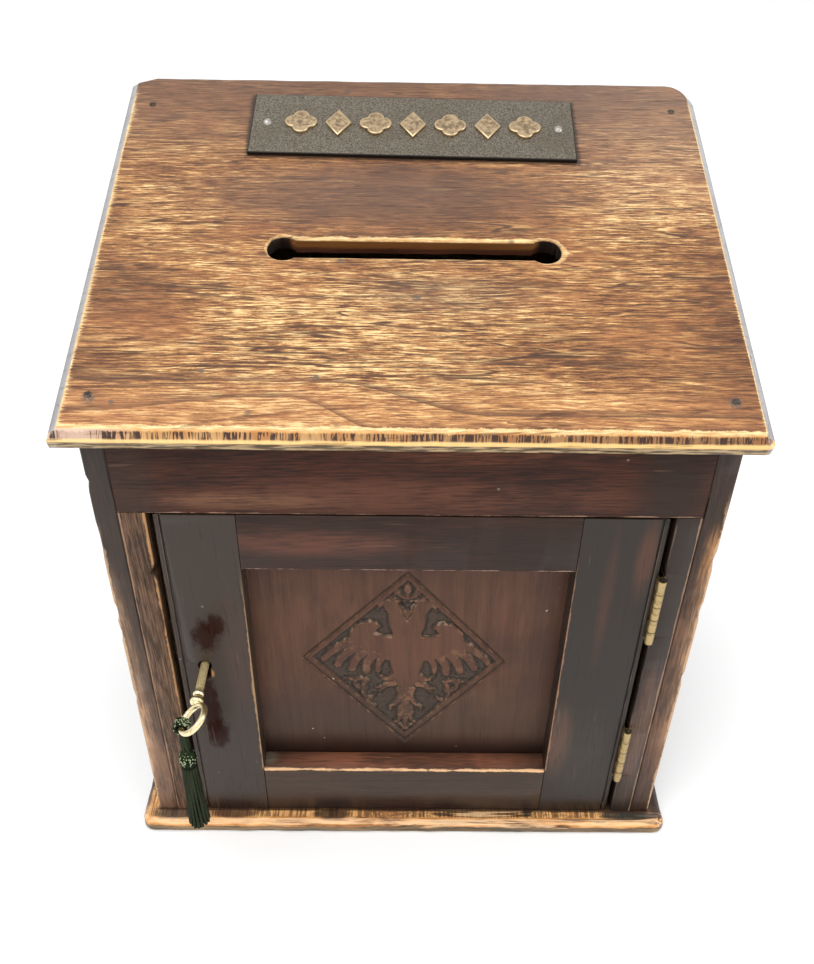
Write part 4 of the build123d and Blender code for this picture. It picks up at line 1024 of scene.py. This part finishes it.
def panel_oak():
    """Red-brown oak, darker and duller in the punched ground, with painted highlights on the carving's
    slopes, its upward ledges and the punched ground, and painted shade low down and in the deepest
    grooves.
    """
    finish, shader, place = new_finish("panel_oak")
    log = stretched(place, (1, 1, 1), (0, 0, 0), ALONG["Z"])
    log = stretched(log, (1, 1, 1), (0.7, 0.02, 0.04), (0, 0.02, 0.02))
    grain = use(oak_grain, {"Place": log, "Ring Width": 0.005, "Pore Length": 0.016})
    depth = stored(place, "sunk")
    fine = streaked(log, (45, 800, 800), 3, 0.65)
    level = grain["Streaks"] * 0.22 + grain["Clouds"] * 0.5
    level += (fine - 0.5) * 0.55
    colour = tint(ease(level, 0.0, 0.85), (0.055, 0.022, 0.0125), (0.112, 0.049, 0.027))
    up = parted(place)[2]
    # lower down the panel turns grey-green and at its foot near black: painted shade
    colour = tint(ease(up, 0.060, 0.105, 0.5, 0), colour, (0.042, 0.031, 0.022))
    colour = tint(ease(up, 0.043, 0.060, 0.9, 0), colour, (0.016, 0.006, 0.004))
    colour = tint(ease(depth, 0.45, 0.85, 0, 0.8), colour, (0.028, 0.021, 0.014))
    # the deepest grooves near black: painted shade
    colour = tint(ease(depth, 1.02, 1.22, 0, 0.85), colour, (0.008, 0.005, 0.004))
    # light specks over the punched ground: painted glints where the punch marks catch the light
    punch_glints = ease(speckle(place, 900, 2, 0.6), 0.42, 0.62)
    colour = tint(ease(depth, 0.6, 0.85) * (punch_glints * 0.45), colour, (0.075, 0.050, 0.034))
    # a tan tint on the carving's slopes: painted highlight
    slope_highlight = ease(depth, 0.15, 0.35) * ease(depth, 0.8, 0.55)
    slope_highlight *= ease(speckle(place, 300, 3, 0.7), 0.48, 0.62)
    colour = tint(slope_highlight * 0.35, colour, (0.30, 0.15, 0.075))
    # pale flecks on the upward ledges: painted highlight
    facing = stored(place, "ledge_highlight")
    facing *= ease(speckle(place, 210, 3, 0.7), 0.50, 0.62)
    colour = tint(facing * 0.5, colour, (0.45, 0.30, 0.21))
    colour = tint(grain["Pores"] * 0.2, colour, (0.015, 0.006, 0.004))
    marks = use(scratches, {"Place": log, "Size": 0.9})
    colour = tint(marks["Specks"] * 0.7, colour, (0.5, 0.42, 0.34))
    height = grain["Streaks"] * 0.4 - grain["Pores"] * 0.5
    feed(shader, Base_Color=colour, Normal=relief(height, 0.35, 0.00025), Specular_IOR_Level=0.22,
         Roughness=0.33 + grain["Clouds"] * 0.18)
    return finish


panel_mesh.materials.append(panel_oak())
panel_mesh.shade_smooth()
panel_mesh.set_sharp_from_angle(angle=math.radians(60))
settle(in_scene("carved_panel", panel_mesh), "door", "door_panel", slot="carved_oak")

# ---- name plate ----
# A plate of hammered bronze, dark with age, pinned on with a pin at each end. Seven raised
# brass pieces, rubbed bright on their edges, stand on it in place of a word.

plate_place = (to_slope.inverted() @ Matrix.Translation((0, plate_middle, 0))
               @ Matrix.Rotation(-plate_lean, 4, "Z"))


def old_metal(name, bright, dark, shine, dull, tarnish, scale, rubbed=None):
    """Metal gone dull and dark in patches; rubbed names the value that keeps it bright."""
    finish, shader, place = new_finish(name)
    broad = speckle(place, scale, 4, 0.62, 0.3)
    fine = speckle(place, scale * 5, 3, 0.6)
    share = ease(broad, 0.36, 0.66) + (fine - 0.5) * 0.8
    share = held(share * tarnish)
    if rubbed:
        share = held(share * (1.0 - stored(place, rubbed)))
    feed(shader, Base_Color=tint(share, bright, dark), Roughness=ease(share, 0, 1, shine, dull),
         Normal=relief(fine, 0.25, 0.00004), Metallic=1.0)
    return finish


def hammered_plate(length, height, thickness, pitch):
    """The plate as a grid with small dents and eased edges, closed at the back."""
    columns, rows = int(length / pitch) + 1, int(height / pitch) + 1
    points, edges = [], []
    for j in range(rows):
        for i in range(columns):
            x, y = (i / (columns - 1) - 0.5) * length, (j / (rows - 1) - 0.5) * height
            edge = min(length / 2 - abs(x), height / 2 - abs(y))
            place = Vector((x, y, 0)) * 1000
            dent = noise.noise(place * 0.62) + 0.7 * noise.noise(place * 1.25 + Vector((9, 0, 0)))
            low = 0.00006 + 0.00009 * dent
            if edge < 0.0007:
                low = max(low, 0.0004 * (1 - edge / 0.0007) ** 1.5)
            points.append((x, y, thickness - max(0.0, low)))
            edges.append(max(0.0, 1 - edge / 0.0010))
    faces, rim = slab(rows, columns)
    points += [(*points[k][:2], 0) for k in rim]
    mesh = bpy.data.meshes.new("plate")
    mesh.from_pydata(points, [], faces)
    at_edge = mesh.attributes.new("at_edge", "FLOAT", "POINT")
    at_edge.data.foreach_set("value", edges + [1.0] * len(rim))
    solid = bmesh.new()
    solid.from_mesh(mesh)
    bpy.data.meshes.remove(mesh)
    bmesh.ops.transform(solid, matrix=plate_place, verts=solid.verts)
    return solid


def dark_bronze():
    """Bronze gone green-grey, near black in the hammered dents."""
    finish, shader, place = new_finish("dark_bronze")
    broad = speckle(place, 45, 3, 0.6)
    fine = speckle(place, 1300, 3, 0.7)
    bloom = ease(fine, 0.38, 0.62)
    colour = tint(bloom, (0.075, 0.063, 0.046), (0.235, 0.205, 0.158))
    colour = tint(ease(broad, 0.4, 0.75, 0, 0.35), colour, (0.10, 0.075, 0.045))
    at_edge = stored(place, "at_edge")
    at_edge += (fine - 0.5) * 0.5
    colour = tint(ease(at_edge, 0.35, 0.7), colour, (0.016, 0.012, 0.009))
    feed(shader, Base_Color=colour, Roughness=ease(bloom, 0, 1, 0.38, 0.5),
         Normal=relief(fine, 0.6, 0.00012), Metallic=0.65)
    return finish


plate_solid = hammered_plate(2 * plate_half_length, 2 * plate_half_height, thickness=0.002, pitch=0.00062)
settle(new_piece("hammered_plate", plate_solid, dark_bronze(), 50), "case", "name_plate",
       slot="dark_bronze")

raised_solid = merged("name_plate_ornaments")
bmesh.ops.transform(raised_solid, matrix=plate_place.inverted(), verts=raised_solid.verts)
round_arrises(raised_solid, 0.0005, lambda e: all(v.co.z > 0.0033 for v in e.verts), 2)
rim_layer = raised_solid.verts.layers.float.new("rim")
for v in raised_solid.verts:
    v[rim_layer] = 1.0 if v.co.z > 0.0028 else 0.0
bmesh.ops.inset_region(raised_solid, faces=[f for f in raised_solid.faces if f.normal.z > 0.9
                                            and f.calc_area() > 2e-5], thickness=0.0007, depth=-0.00012)
for f in raised_solid.faces:
    if f.normal.z > 0.99 and f.calc_area() > 2e-5:
        for v in f.verts:
            v[rim_layer] = 0.0
bmesh.ops.transform(raised_solid, matrix=plate_place, verts=raised_solid.verts)
raised_brass = old_metal("raised_brass", (0.60, 0.45, 0.27), (0.24, 0.17, 0.11), 0.3, 0.5, 1.0, 420,
                         rubbed="rim")
settle(new_piece("raised_ornaments", raised_solid, raised_brass, 40), "case", "name_plate_ornaments",
       slot="raised_brass")


def painted(finish, *nodes):
    """Gives CAD solids that stay in view a finish of their own."""
    for node in nodes:
        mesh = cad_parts[node].data
        mesh.materials.clear()
        mesh.materials.append(finish)


steel = old_metal("pin_steel", (0.55, 0.52, 0.48), (0.16, 0.14, 0.12), 0.25, 0.5, 0.7, 900)
iron = old_metal("old_iron", (0.14, 0.12, 0.105), (0.055, 0.045, 0.04), 0.45, 0.7, 0.9, 700)
painted(steel, "name_plate_pins")
painted(iron, "top_nails", "base_screws", "back_pins")

# ---- hinges ----
# Two drawn-brass butt hinges, gone dull, with five flat knuckles on a steel pin. Their leaves
# are let in flush between door and stile, and three slotted screws hold each leaf.


def hinge_metal(name, first, pitch=0.00762):
    """Brass with dirt in its seams, pale on the barrel's front and painted darker behind it as shade;
    first is its lower end's height.
    """
    finish, shader, place = new_finish(name)
    _, back, up = parted(place)
    turns = (up - (first - pitch / 2)) / pitch
    seam = abs(figured("FRACT", turns) - 0.5)
    broad = speckle(place, 500, 4, 0.6)
    dirt = larger(ease(seam, 0.02, 0.055, 1, 0), ease(broad, 0.55, 0.75, 0, 0.5))
    # the barrel's front pale, the rest and the leaves painted darker as shade
    brass = tint(ease(back, -0.0945, -0.0938), (0.44, 0.32, 0.15), (0.16, 0.11, 0.05))
    feed(shader, Base_Color=tint(dirt, brass, (0.10, 0.07, 0.035)), Metallic=0.9,
         Roughness=ease(dirt, 0, 1, 0.34, 0.6), Normal=relief(broad, 0.3, 0.00006))
    return finish


for level, first in (("upper", 0.13795), ("lower", 0.03835)):
    hinge_brass = hinge_metal(level + "_hinge_brass", first)
    for side, body in (("door", "door"), ("carcass", "case")):
        node = f"{level}_hinge_{side}_leaf"
        leaf = merged(node)
        round_arrises(leaf, 0.00035, lambda e: abs(e.verts[0].co.z - e.verts[1].co.z) < 1e-6 and all(
            v.co.y < -0.0941 for v in e.verts), 2)
        settle(new_piece(f"{level}_{side}_leaf", leaf, hinge_brass, 30), body, node, slot="hinge_brass")
brass_screws = old_metal("brass_screws", (0.70, 0.55, 0.31), (0.28, 0.19, 0.09), 0.3, 0.5, 0.7, 500)
painted(steel, "upper_hinge_pin", "lower_hinge_pin")
painted(brass_screws, "carcass_hinge_screws", "door_hinge_screws")

# ---- lock ----
# A brass cut cupboard lock let into the door's edge and back, with its bolt, spring and drill
# pin, and a strike plate in the stile. Only its edge and the keyhole show with the door shut.

lock_brass = old_metal("lock_brass", (0.66, 0.52, 0.29), (0.25, 0.17, 0.085), 0.32, 0.55, 0.8, 180)
painted(lock_brass, "lock_plate", "lock_posts", "lock_cap", "lock_bolt", "strike_plate")
painted(brass_screws, "lock_screws", "strike_screws")
painted(steel, "lock_drill_pin", "lock_spring")

# ---- key ----
# A pipe key of pale polished brass: an oval band for a bow, a collar and a ring turned on
# the shank, a drilled end and a plain bit.

key_origin = Vector((-0.0943, 0, 0.1182))
key_turn = Matrix.Translation(key_origin) @ Matrix.Rotation(math.radians(-40), 4, "Y")


def lathed(profile, segments=24):
    """Points and faces turned round Z from (radius, height) in mm, closed where it meets the axis
    or, if it starts and ends at one place, as a ring."""
    ringed = profile[0] == profile[-1]
    points, rings = [], []
    for radius, z in profile[:-1] if ringed else profile:
        rings.append([len(points)] if radius == 0 else list(range(len(points), len(points) + segments)))
        points += [(0, 0, z / 1000)] if radius == 0 else [
            (radius / 1000 * math.cos(a), radius / 1000 * math.sin(a), z / 1000)
            for a in (2 * math.pi * i / segments for i in range(segments))]
    faces = []
    for a, b in zip(rings, rings[1:] + rings[:1] if ringed else rings[1:]):
        for i in range(segments):
            j = (i + 1) % segments
            faces.append((a[0], b[i], b[j]) if len(a) == 1 else (a[j], a[i], b[0]) if len(b) == 1
                         else (a[j], a[i], b[i], b[j]))
    return points, faces


def bent_band(radius, half_wide, half_deep, middle, turns=96, around=20):
    """The bow: a band with rounded sides, bent round in a ring that lies across the shank."""
    points, faces = [], []
    for i in range(turns):
        a = 2 * math.pi * i / turns
        outward = Vector((math.cos(a), math.sin(a), 0))
        for j in range(around):
            b = 2 * math.pi * j / around
            c, s = math.cos(b), math.sin(b)
            side = half_deep * math.copysign(abs(c) ** 0.8, c)
            up = half_wide * math.copysign(abs(s) ** 0.8, s)
            points.append(tuple(Vector((0, middle, 0)) + outward * (radius + side) + Vector((0, 0, up))))
    for i in range(turns):
        for j in range(around):
            k, m = (i + 1) % turns, (j + 1) % around
            faces.append((i * around + j, k * around + j, k * around + m, i * around + m))
    return points, faces


def add_shell(solid, points, faces):
    """Adds points and the faces between them to a solid."""
    start = [solid.verts.new(p) for p in points]
    for face in faces:
        solid.faces.new([start[i] for i in face]).smooth = True


# the shank, each a radius and how far it is in front of the door, in mm
shank, shank_faces = lathed([
    (0, -8.1), (1.15, -8.1), (1.15, -16.8), (1.35, -17.1), (1.7, -17.1), (1.9, -16.9), (1.9, 13.6),
    (1.72, 14.1), (1.72, 15.4), (1.9, 16.0), (2.3, 16.5), (2.5, 16.9), (2.5, 17.5), (2.3, 17.9),
    (1.95, 18.2), (1.8, 18.7), (1.95, 19.4), (2.35, 20.0), (2.8, 20.5), (3.08, 21.0), (3.1, 21.5),
    (3.0, 22.1), (2.7, 22.6), (2.2, 22.9), (1.7, 23.3), (1.4, 24.2), (0, 24.6)], 40)
bit_corners = [(x, y, z) for x in (0.0012, 0.0069) for y in (-0.0829, -0.0773) for z in (-0.0011, 0.0011)]
bit_faces = [(0, 1, 3, 2), (4, 6, 7, 5), (0, 4, 5, 1), (2, 3, 7, 6), (0, 2, 6, 4), (1, 5, 7, 3)]
key_solid = bmesh.new()
add_shell(key_solid, [(x, FRONT - z, y) for x, y, z in shank], shank_faces)
add_shell(key_solid, *bent_band(radius=0.0070, half_wide=0.0014, half_deep=0.00125, middle=-0.125))
add_shell(key_solid, bit_corners, bit_faces)
bmesh.ops.recalc_face_normals(key_solid, faces=key_solid.faces)
bmesh.ops.transform(key_solid, matrix=key_turn, verts=key_solid.verts)


def worn_key_brass():
    """Bright where it is held, and duller with fine pits along the shank."""
    finish, shader, place = new_finish("key_brass")
    pits = speckle(place, 1500, 3, 0.7)
    back = parted(place)[1]
    shank = ease(back, -0.1115, -0.1090)
    dirt = ease(speckle(place, 420, 4, 0.65), 0.45, 0.7, 0, 0.55)
    dirt = larger(dirt, shank * ease(pits, 0.40, 0.62, 0.45, 1.0))
    feed(shader, Base_Color=tint(dirt, (0.88, 0.76, 0.46), (0.40, 0.30, 0.12)),
         Roughness=ease(shank, 0, 1, 0.24, 0.55), Metallic=ease(shank, 0, 1, 0.95, 0.75),
         Normal=relief(pits, 0.5, 0.00012))
    return finish


settle(new_piece("turned_key", key_solid, worn_key_brass(), 40), "key", "door_key", slot="key_brass")

# ---- tassel ----
# Dark green silk cords: a knot worked in little beads round the key's bow, a short doubled
# neck, a beaded head knot and a skirt of laid cords that spreads a little.

hang_point = Vector((-0.0996623, -0.125, 0.1137005))


def silk(name, deep, pale, speck_share):
    """Silk cord, with the odd pale stitch, painted dark where it turns away from view, as shade in the
    gaps between its cords.
    """
    finish, shader, place = new_finish(name)
    stitch = stored(place, "stitch")
    fibre = speckle(place, 2600, 2, 0.6)
    colour = tint(ease(fibre, 0.35, 0.7), deep, pale)
    colour = tint(ease(stitch, 1 - speck_share, 1.02 - speck_share), colour, (0.38, 0.43, 0.26))
    # darker where the cord turns away from view: painted shade in the gaps
    gap_shade = made(place.tree, "ShaderNodeLayerWeight", {"Blend": 0.5}, "Facing")
    colour = tint(ease(gap_shade, 0.25, 0.8, 0, 0.92), colour, (0.001, 0.0015, 0.001))
    feed(shader, Base_Color=colour, Normal=relief(fibre, 0.5, 0.00008), Roughness=0.6,
         Specular_IOR_Level=0.06)
    return finish


def new_form(name, sizes):
    """An empty Geometry Nodes tree with its named sizes and a mesh out."""
    form = bpy.data.node_groups.new(name, "GeometryNodeTree")
    form.interface.new_socket("Geometry", in_out="INPUT", socket_type="NodeSocketGeometry")
    for label, kind, value in sizes:
        socket = form.interface.new_socket(label, in_out="INPUT", socket_type=kind)
        if value is not None:
            socket.default_value = value
    form.interface.new_socket("Geometry", in_out="OUTPUT", socket_type="NodeSocketGeometry")
    return form, fields(form.nodes.new("NodeGroupInput")), form.nodes.new("NodeGroupOutput").inputs


def dice(form, low, high, seed):
    """A random value for each point."""
    return made(form, "FunctionNodeRandomValue", {2: low, 3: high, 8: seed}, 1, data_type="FLOAT")


def scattered(form, sizes, spot, name):
    """Points at their spots, each with a random value from 0 to 1 kept under a name."""
    spots = made(form, "GeometryNodePoints", {"Count": sizes["Count"], "Position": spot, "Radius": 0.1})
    return made(form, "GeometryNodeStoreNamedAttribute", {
        "Geometry": spots, "Name": name, "Value": dice(form, 0.0, 1.0, sizes["Seed"])},
        data_type="FLOAT", domain="POINT")


def hanging_cords_form():
    """Cords side by side in a ring that hang from a small circle and spread below it."""
    form, sizes, out = new_form("hanging_cords", [
        ("Count", "NodeSocketInt", 11), ("Length", "NodeSocketFloat", 0.04),
        ("Upper Radius", "NodeSocketFloat", 0.003), ("Lower Radius", "NodeSocketFloat", 0.005),
        ("Cord Radius", "NodeSocketFloat", 0.001), ("Lay", "NodeSocketFloat", 30.0),
        ("Swirl", "NodeSocketFloat", 0.0), ("Waver", "NodeSocketFloat", 0.0002),
        ("Seed", "NodeSocketInt", 1), ("Material", "NodeSocketMaterial", None)])
    angle = made(form, "GeometryNodeInputIndex") * (2 * math.pi) / sizes["Count"]
    angle += dice(form, -0.06, 0.06, sizes["Seed"])
    around = joined(figured("COSINE", angle), figured("SINE", angle))
    tagged = scattered(form, sizes, around, "turn_start")
    line = made(form, "GeometryNodeCurvePrimitiveLine", {"Start": (0, 0, 0), "End": (0, 0, -1)})
    line = made(form, "GeometryNodeResampleCurve", {"Curve": line, "Count": 30})
    placed = made(form, "GeometryNodeInstanceOnPoints", {"Points": tagged, "Instance": line})
    real = made(form, "GeometryNodeRealizeInstances", {"Geometry": placed})
    where = made(form, "GeometryNodeInputPosition")
    x, y, z = parted(where)
    fallen = z * -1.0
    spread = made(form, "ShaderNodeMapRange", {
        "Value": fallen, "To Min": sizes["Upper Radius"], "To Max": sizes["Lower Radius"]}, "Result")
    seeded = where + joined(sizes["Seed"])
    sway = made(form, "ShaderNodeTexNoise", {"Vector": seeded, "Scale": 2.3, "Detail": 1.0}, "Color")
    sway = scaled(sway - (0.5, 0.5, 0.5), sizes["Waver"] * fallen)
    ring = made(form, "ShaderNodeVectorRotate", {
        "Vector": joined(x, y), "Axis": (0, 0, 1), "Angle": fallen * sizes["Swirl"]})
    hung = scaled(ring, spread) + joined(0, 0, z * sizes["Length"]) + sway
    moved = made(form, "GeometryNodeSetPosition", {"Geometry": real, "Position": hung})
    start = made(form, "GeometryNodeInputNamedAttribute", {"Name": "turn_start"}, data_type="FLOAT")
    tilt = fallen * sizes["Lay"] + start * 6.28
    tilted = made(form, "GeometryNodeSetCurveTilt", {"Curve": moved, "Tilt": tilt})
    circle = made(form, "GeometryNodeCurvePrimitiveCircle",
                  {"Resolution": 12, "Radius": sizes["Cord Radius"]})
    at = made(form, "GeometryNodeInputPosition")
    x, y, _ = parted(at)
    swell = figured("COSINE", figured("ARCTAN2", y, x) * 3.0) * 0.13 + 0.87
    section = made(form, "GeometryNodeSetPosition", {"Geometry": circle, "Position": scaled(at, swell)})
    body = made(form, "GeometryNodeCurveToMesh", {
        "Curve": tilted, "Profile Curve": section, "Fill Caps": True})
    smooth = made(form, "GeometryNodeSetShadeSmooth", {"Geometry": body})
    whole = made(form, "GeometryNodeRealizeInstances", {"Geometry": smooth})
    coated = made(form, "GeometryNodeSetMaterial", {"Geometry": whole, "Material": sizes["Material"]})
    put(coated, out[0])
    return form


def knot_beads_form():
    """Little stitches packed over a rounded knot in a spiral; Barrel 1 makes it a short tube."""
    form, sizes, out = new_form("knot_beads", [
        ("Count", "NodeSocketInt", 120), ("Radius", "NodeSocketFloat", 0.004),
        ("Half Height", "NodeSocketFloat", 0.005), ("Stitch Radius", "NodeSocketFloat", 0.0005),
        ("Barrel", "NodeSocketFloat", 0.0), ("Seed", "NodeSocketInt", 1),
        ("Material", "NodeSocketMaterial", None)])
    number = made(form, "GeometryNodeInputIndex")
    share = (number + 0.5) / sizes["Count"]
    height = share * -2.0 + 1.0
    width = larger(figured("SQRT", 1.0 - height * height), sizes["Barrel"]) * sizes["Radius"]
    golden_angle = 2.39996
    angle = number * golden_angle
    spot = joined(width * figured("COSINE", angle), width * figured("SINE", angle),
                  height * sizes["Half Height"])
    tagged = scattered(form, sizes, spot, "stitch")
    bead = made(form, "GeometryNodeMeshIcoSphere", {"Radius": sizes["Stitch Radius"], "Subdivisions": 2})
    placed = made(form, "GeometryNodeInstanceOnPoints", {
        "Points": tagged, "Instance": bead, "Scale": dice(form, 0.75, 1.0, sizes["Seed"])})
    real = made(form, "GeometryNodeRealizeInstances", {"Geometry": placed})
    smooth = made(form, "GeometryNodeSetShadeSmooth", {"Geometry": real})
    coated = made(form, "GeometryNodeSetMaterial", {"Geometry": smooth, "Material": sizes["Material"]})
    put(coated, out[0])
    return form


hanging_cords, knot_beads = hanging_cords_form(), knot_beads_form()


def grown(name, form, at, finish, core=None, turn=None, **sizes):
    """A piece made by a Geometry Nodes form at its real sizes, with a solid core inside it."""
    holder = in_scene(name, bpy.data.meshes.new(name))
    maker = holder.modifiers.new(name, "NODES")
    maker.node_group = form
    named = {s.name: s.identifier for s in form.interface.items_tree if s.in_out == "INPUT"}
    for label, value in sizes.items():
        maker[named[label.replace("_", " ")]] = value
    maker[named["Material"]] = finish
    bpy.context.view_layer.update()
    mesh = bpy.data.meshes.new_from_object(holder.evaluated_get(bpy.context.evaluated_depsgraph_get()))
    bpy.data.objects.remove(holder)
    solid = bmesh.new()
    solid.from_mesh(mesh)
    if core:
        add_shell(solid, *core)
    if turn:
        bmesh.ops.transform(solid, matrix=turn, verts=solid.verts)
    bmesh.ops.translate(solid, vec=at, verts=solid.verts)
    bmesh.ops.recalc_face_normals(solid, faces=solid.faces)
    solid.to_mesh(mesh)
    solid.free()
    mesh.materials.clear()
    mesh.materials.append(finish)
    mesh.name = name
    return in_scene(name, mesh)


cord_silk = silk("cord_silk", (0.013, 0.019, 0.008), (0.046, 0.059, 0.026), 0.0)
knot_silk = silk("knot_silk", (0.005, 0.010, 0.004), (0.026, 0.042, 0.014), 0.34)
settle(grown("bow_knot", knot_beads, hang_point, knot_silk, lathed(
    [(2.55, -2.3), (3.2, -2.3), (3.35, 0), (3.2, 2.3), (2.55, 2.3), (2.55, -2.3)]),
    Matrix.Rotation(math.pi / 2, 4, "X"), Count=290, Radius=0.00336, Half_Height=0.00222,
    Stitch_Radius=0.00037, Barrel=1.0, Seed=3), "tassel_knot", "tassel_loop", slot="green_cord")
settle(grown("neck_cords", hanging_cords, hang_point + Vector((0, 0, -0.0042)), cord_silk,
             Count=4, Length=0.0122, Upper_Radius=0.00105, Lower_Radius=0.0013, Cord_Radius=0.00098,
             Lay=26.0, Swirl=0.7, Waver=0.0002, Seed=5), "tassel", "tassel_neck", slot="green_cord")
settle(grown("head_knot", knot_beads, hang_point + Vector((0, 0, -0.02215)), knot_silk, lathed(
    [(0, 5.4), (2.2, 4.9), (3.4, 3.2), (3.75, 0), (3.5, -3.2), (2.4, -5.2), (0, -5.5)]),
    Count=380, Radius=0.00380, Half_Height=0.00515, Stitch_Radius=0.00042, Barrel=0.0, Seed=7),
    "tassel", "tassel_head", slot="green_cord")
settle(grown("skirt_cords", hanging_cords, hang_point + Vector((0, 0, -0.0279)), cord_silk, lathed(
    [(0, 0), (2.0, -0.2), (2.6, -22), (3.1, -41), (0, -41.4)]),
    Count=15, Length=0.0412, Upper_Radius=0.0027, Lower_Radius=0.0043, Cord_Radius=0.00094,
    Lay=60.0, Swirl=0.25, Waver=0.0010, Seed=11), "tassel", "tassel_skirt", slot="green_cord")

# ---- pine ----
# The back, the door's stop and the glue blocks are plain pine, planed and left unfinished, so
# they have gone yellow-brown and a little dusty.


def old_pine(name, along, seed):
    """Unfinished softwood with clear growth lines."""
    finish, shader, place = new_finish(name)
    log = stretched(place, (1, 1, 1), (seed, 0.03 * seed, 0.12), ALONG[along])
    grain = use(oak_grain, {"Place": log, "Ring Width": 0.0045, "Pore Length": 0.05})
    colour = tint(grain["Streaks"], (0.26, 0.155, 0.078), (0.43, 0.29, 0.155))
    colour = tint(ease(grain["Rings"], 0.5, 0.95) * 0.45, colour, (0.27, 0.12, 0.045))
    colour = tint(grain["Clouds"] * 0.3, colour, (0.25, 0.17, 0.10))
    feed(shader, Base_Color=colour, Roughness=0.7, Normal=relief(grain["Streaks"], 0.3, 0.0002))
    return finish


painted(old_pine("back_pine", "Z", 1.0), "back_board")
painted(old_pine("stop_pine", "Z", 2.0), "door_stop")
painted(old_pine("block_pine", "X", 3.0), "top_glue_blocks", "base_glue_blocks")
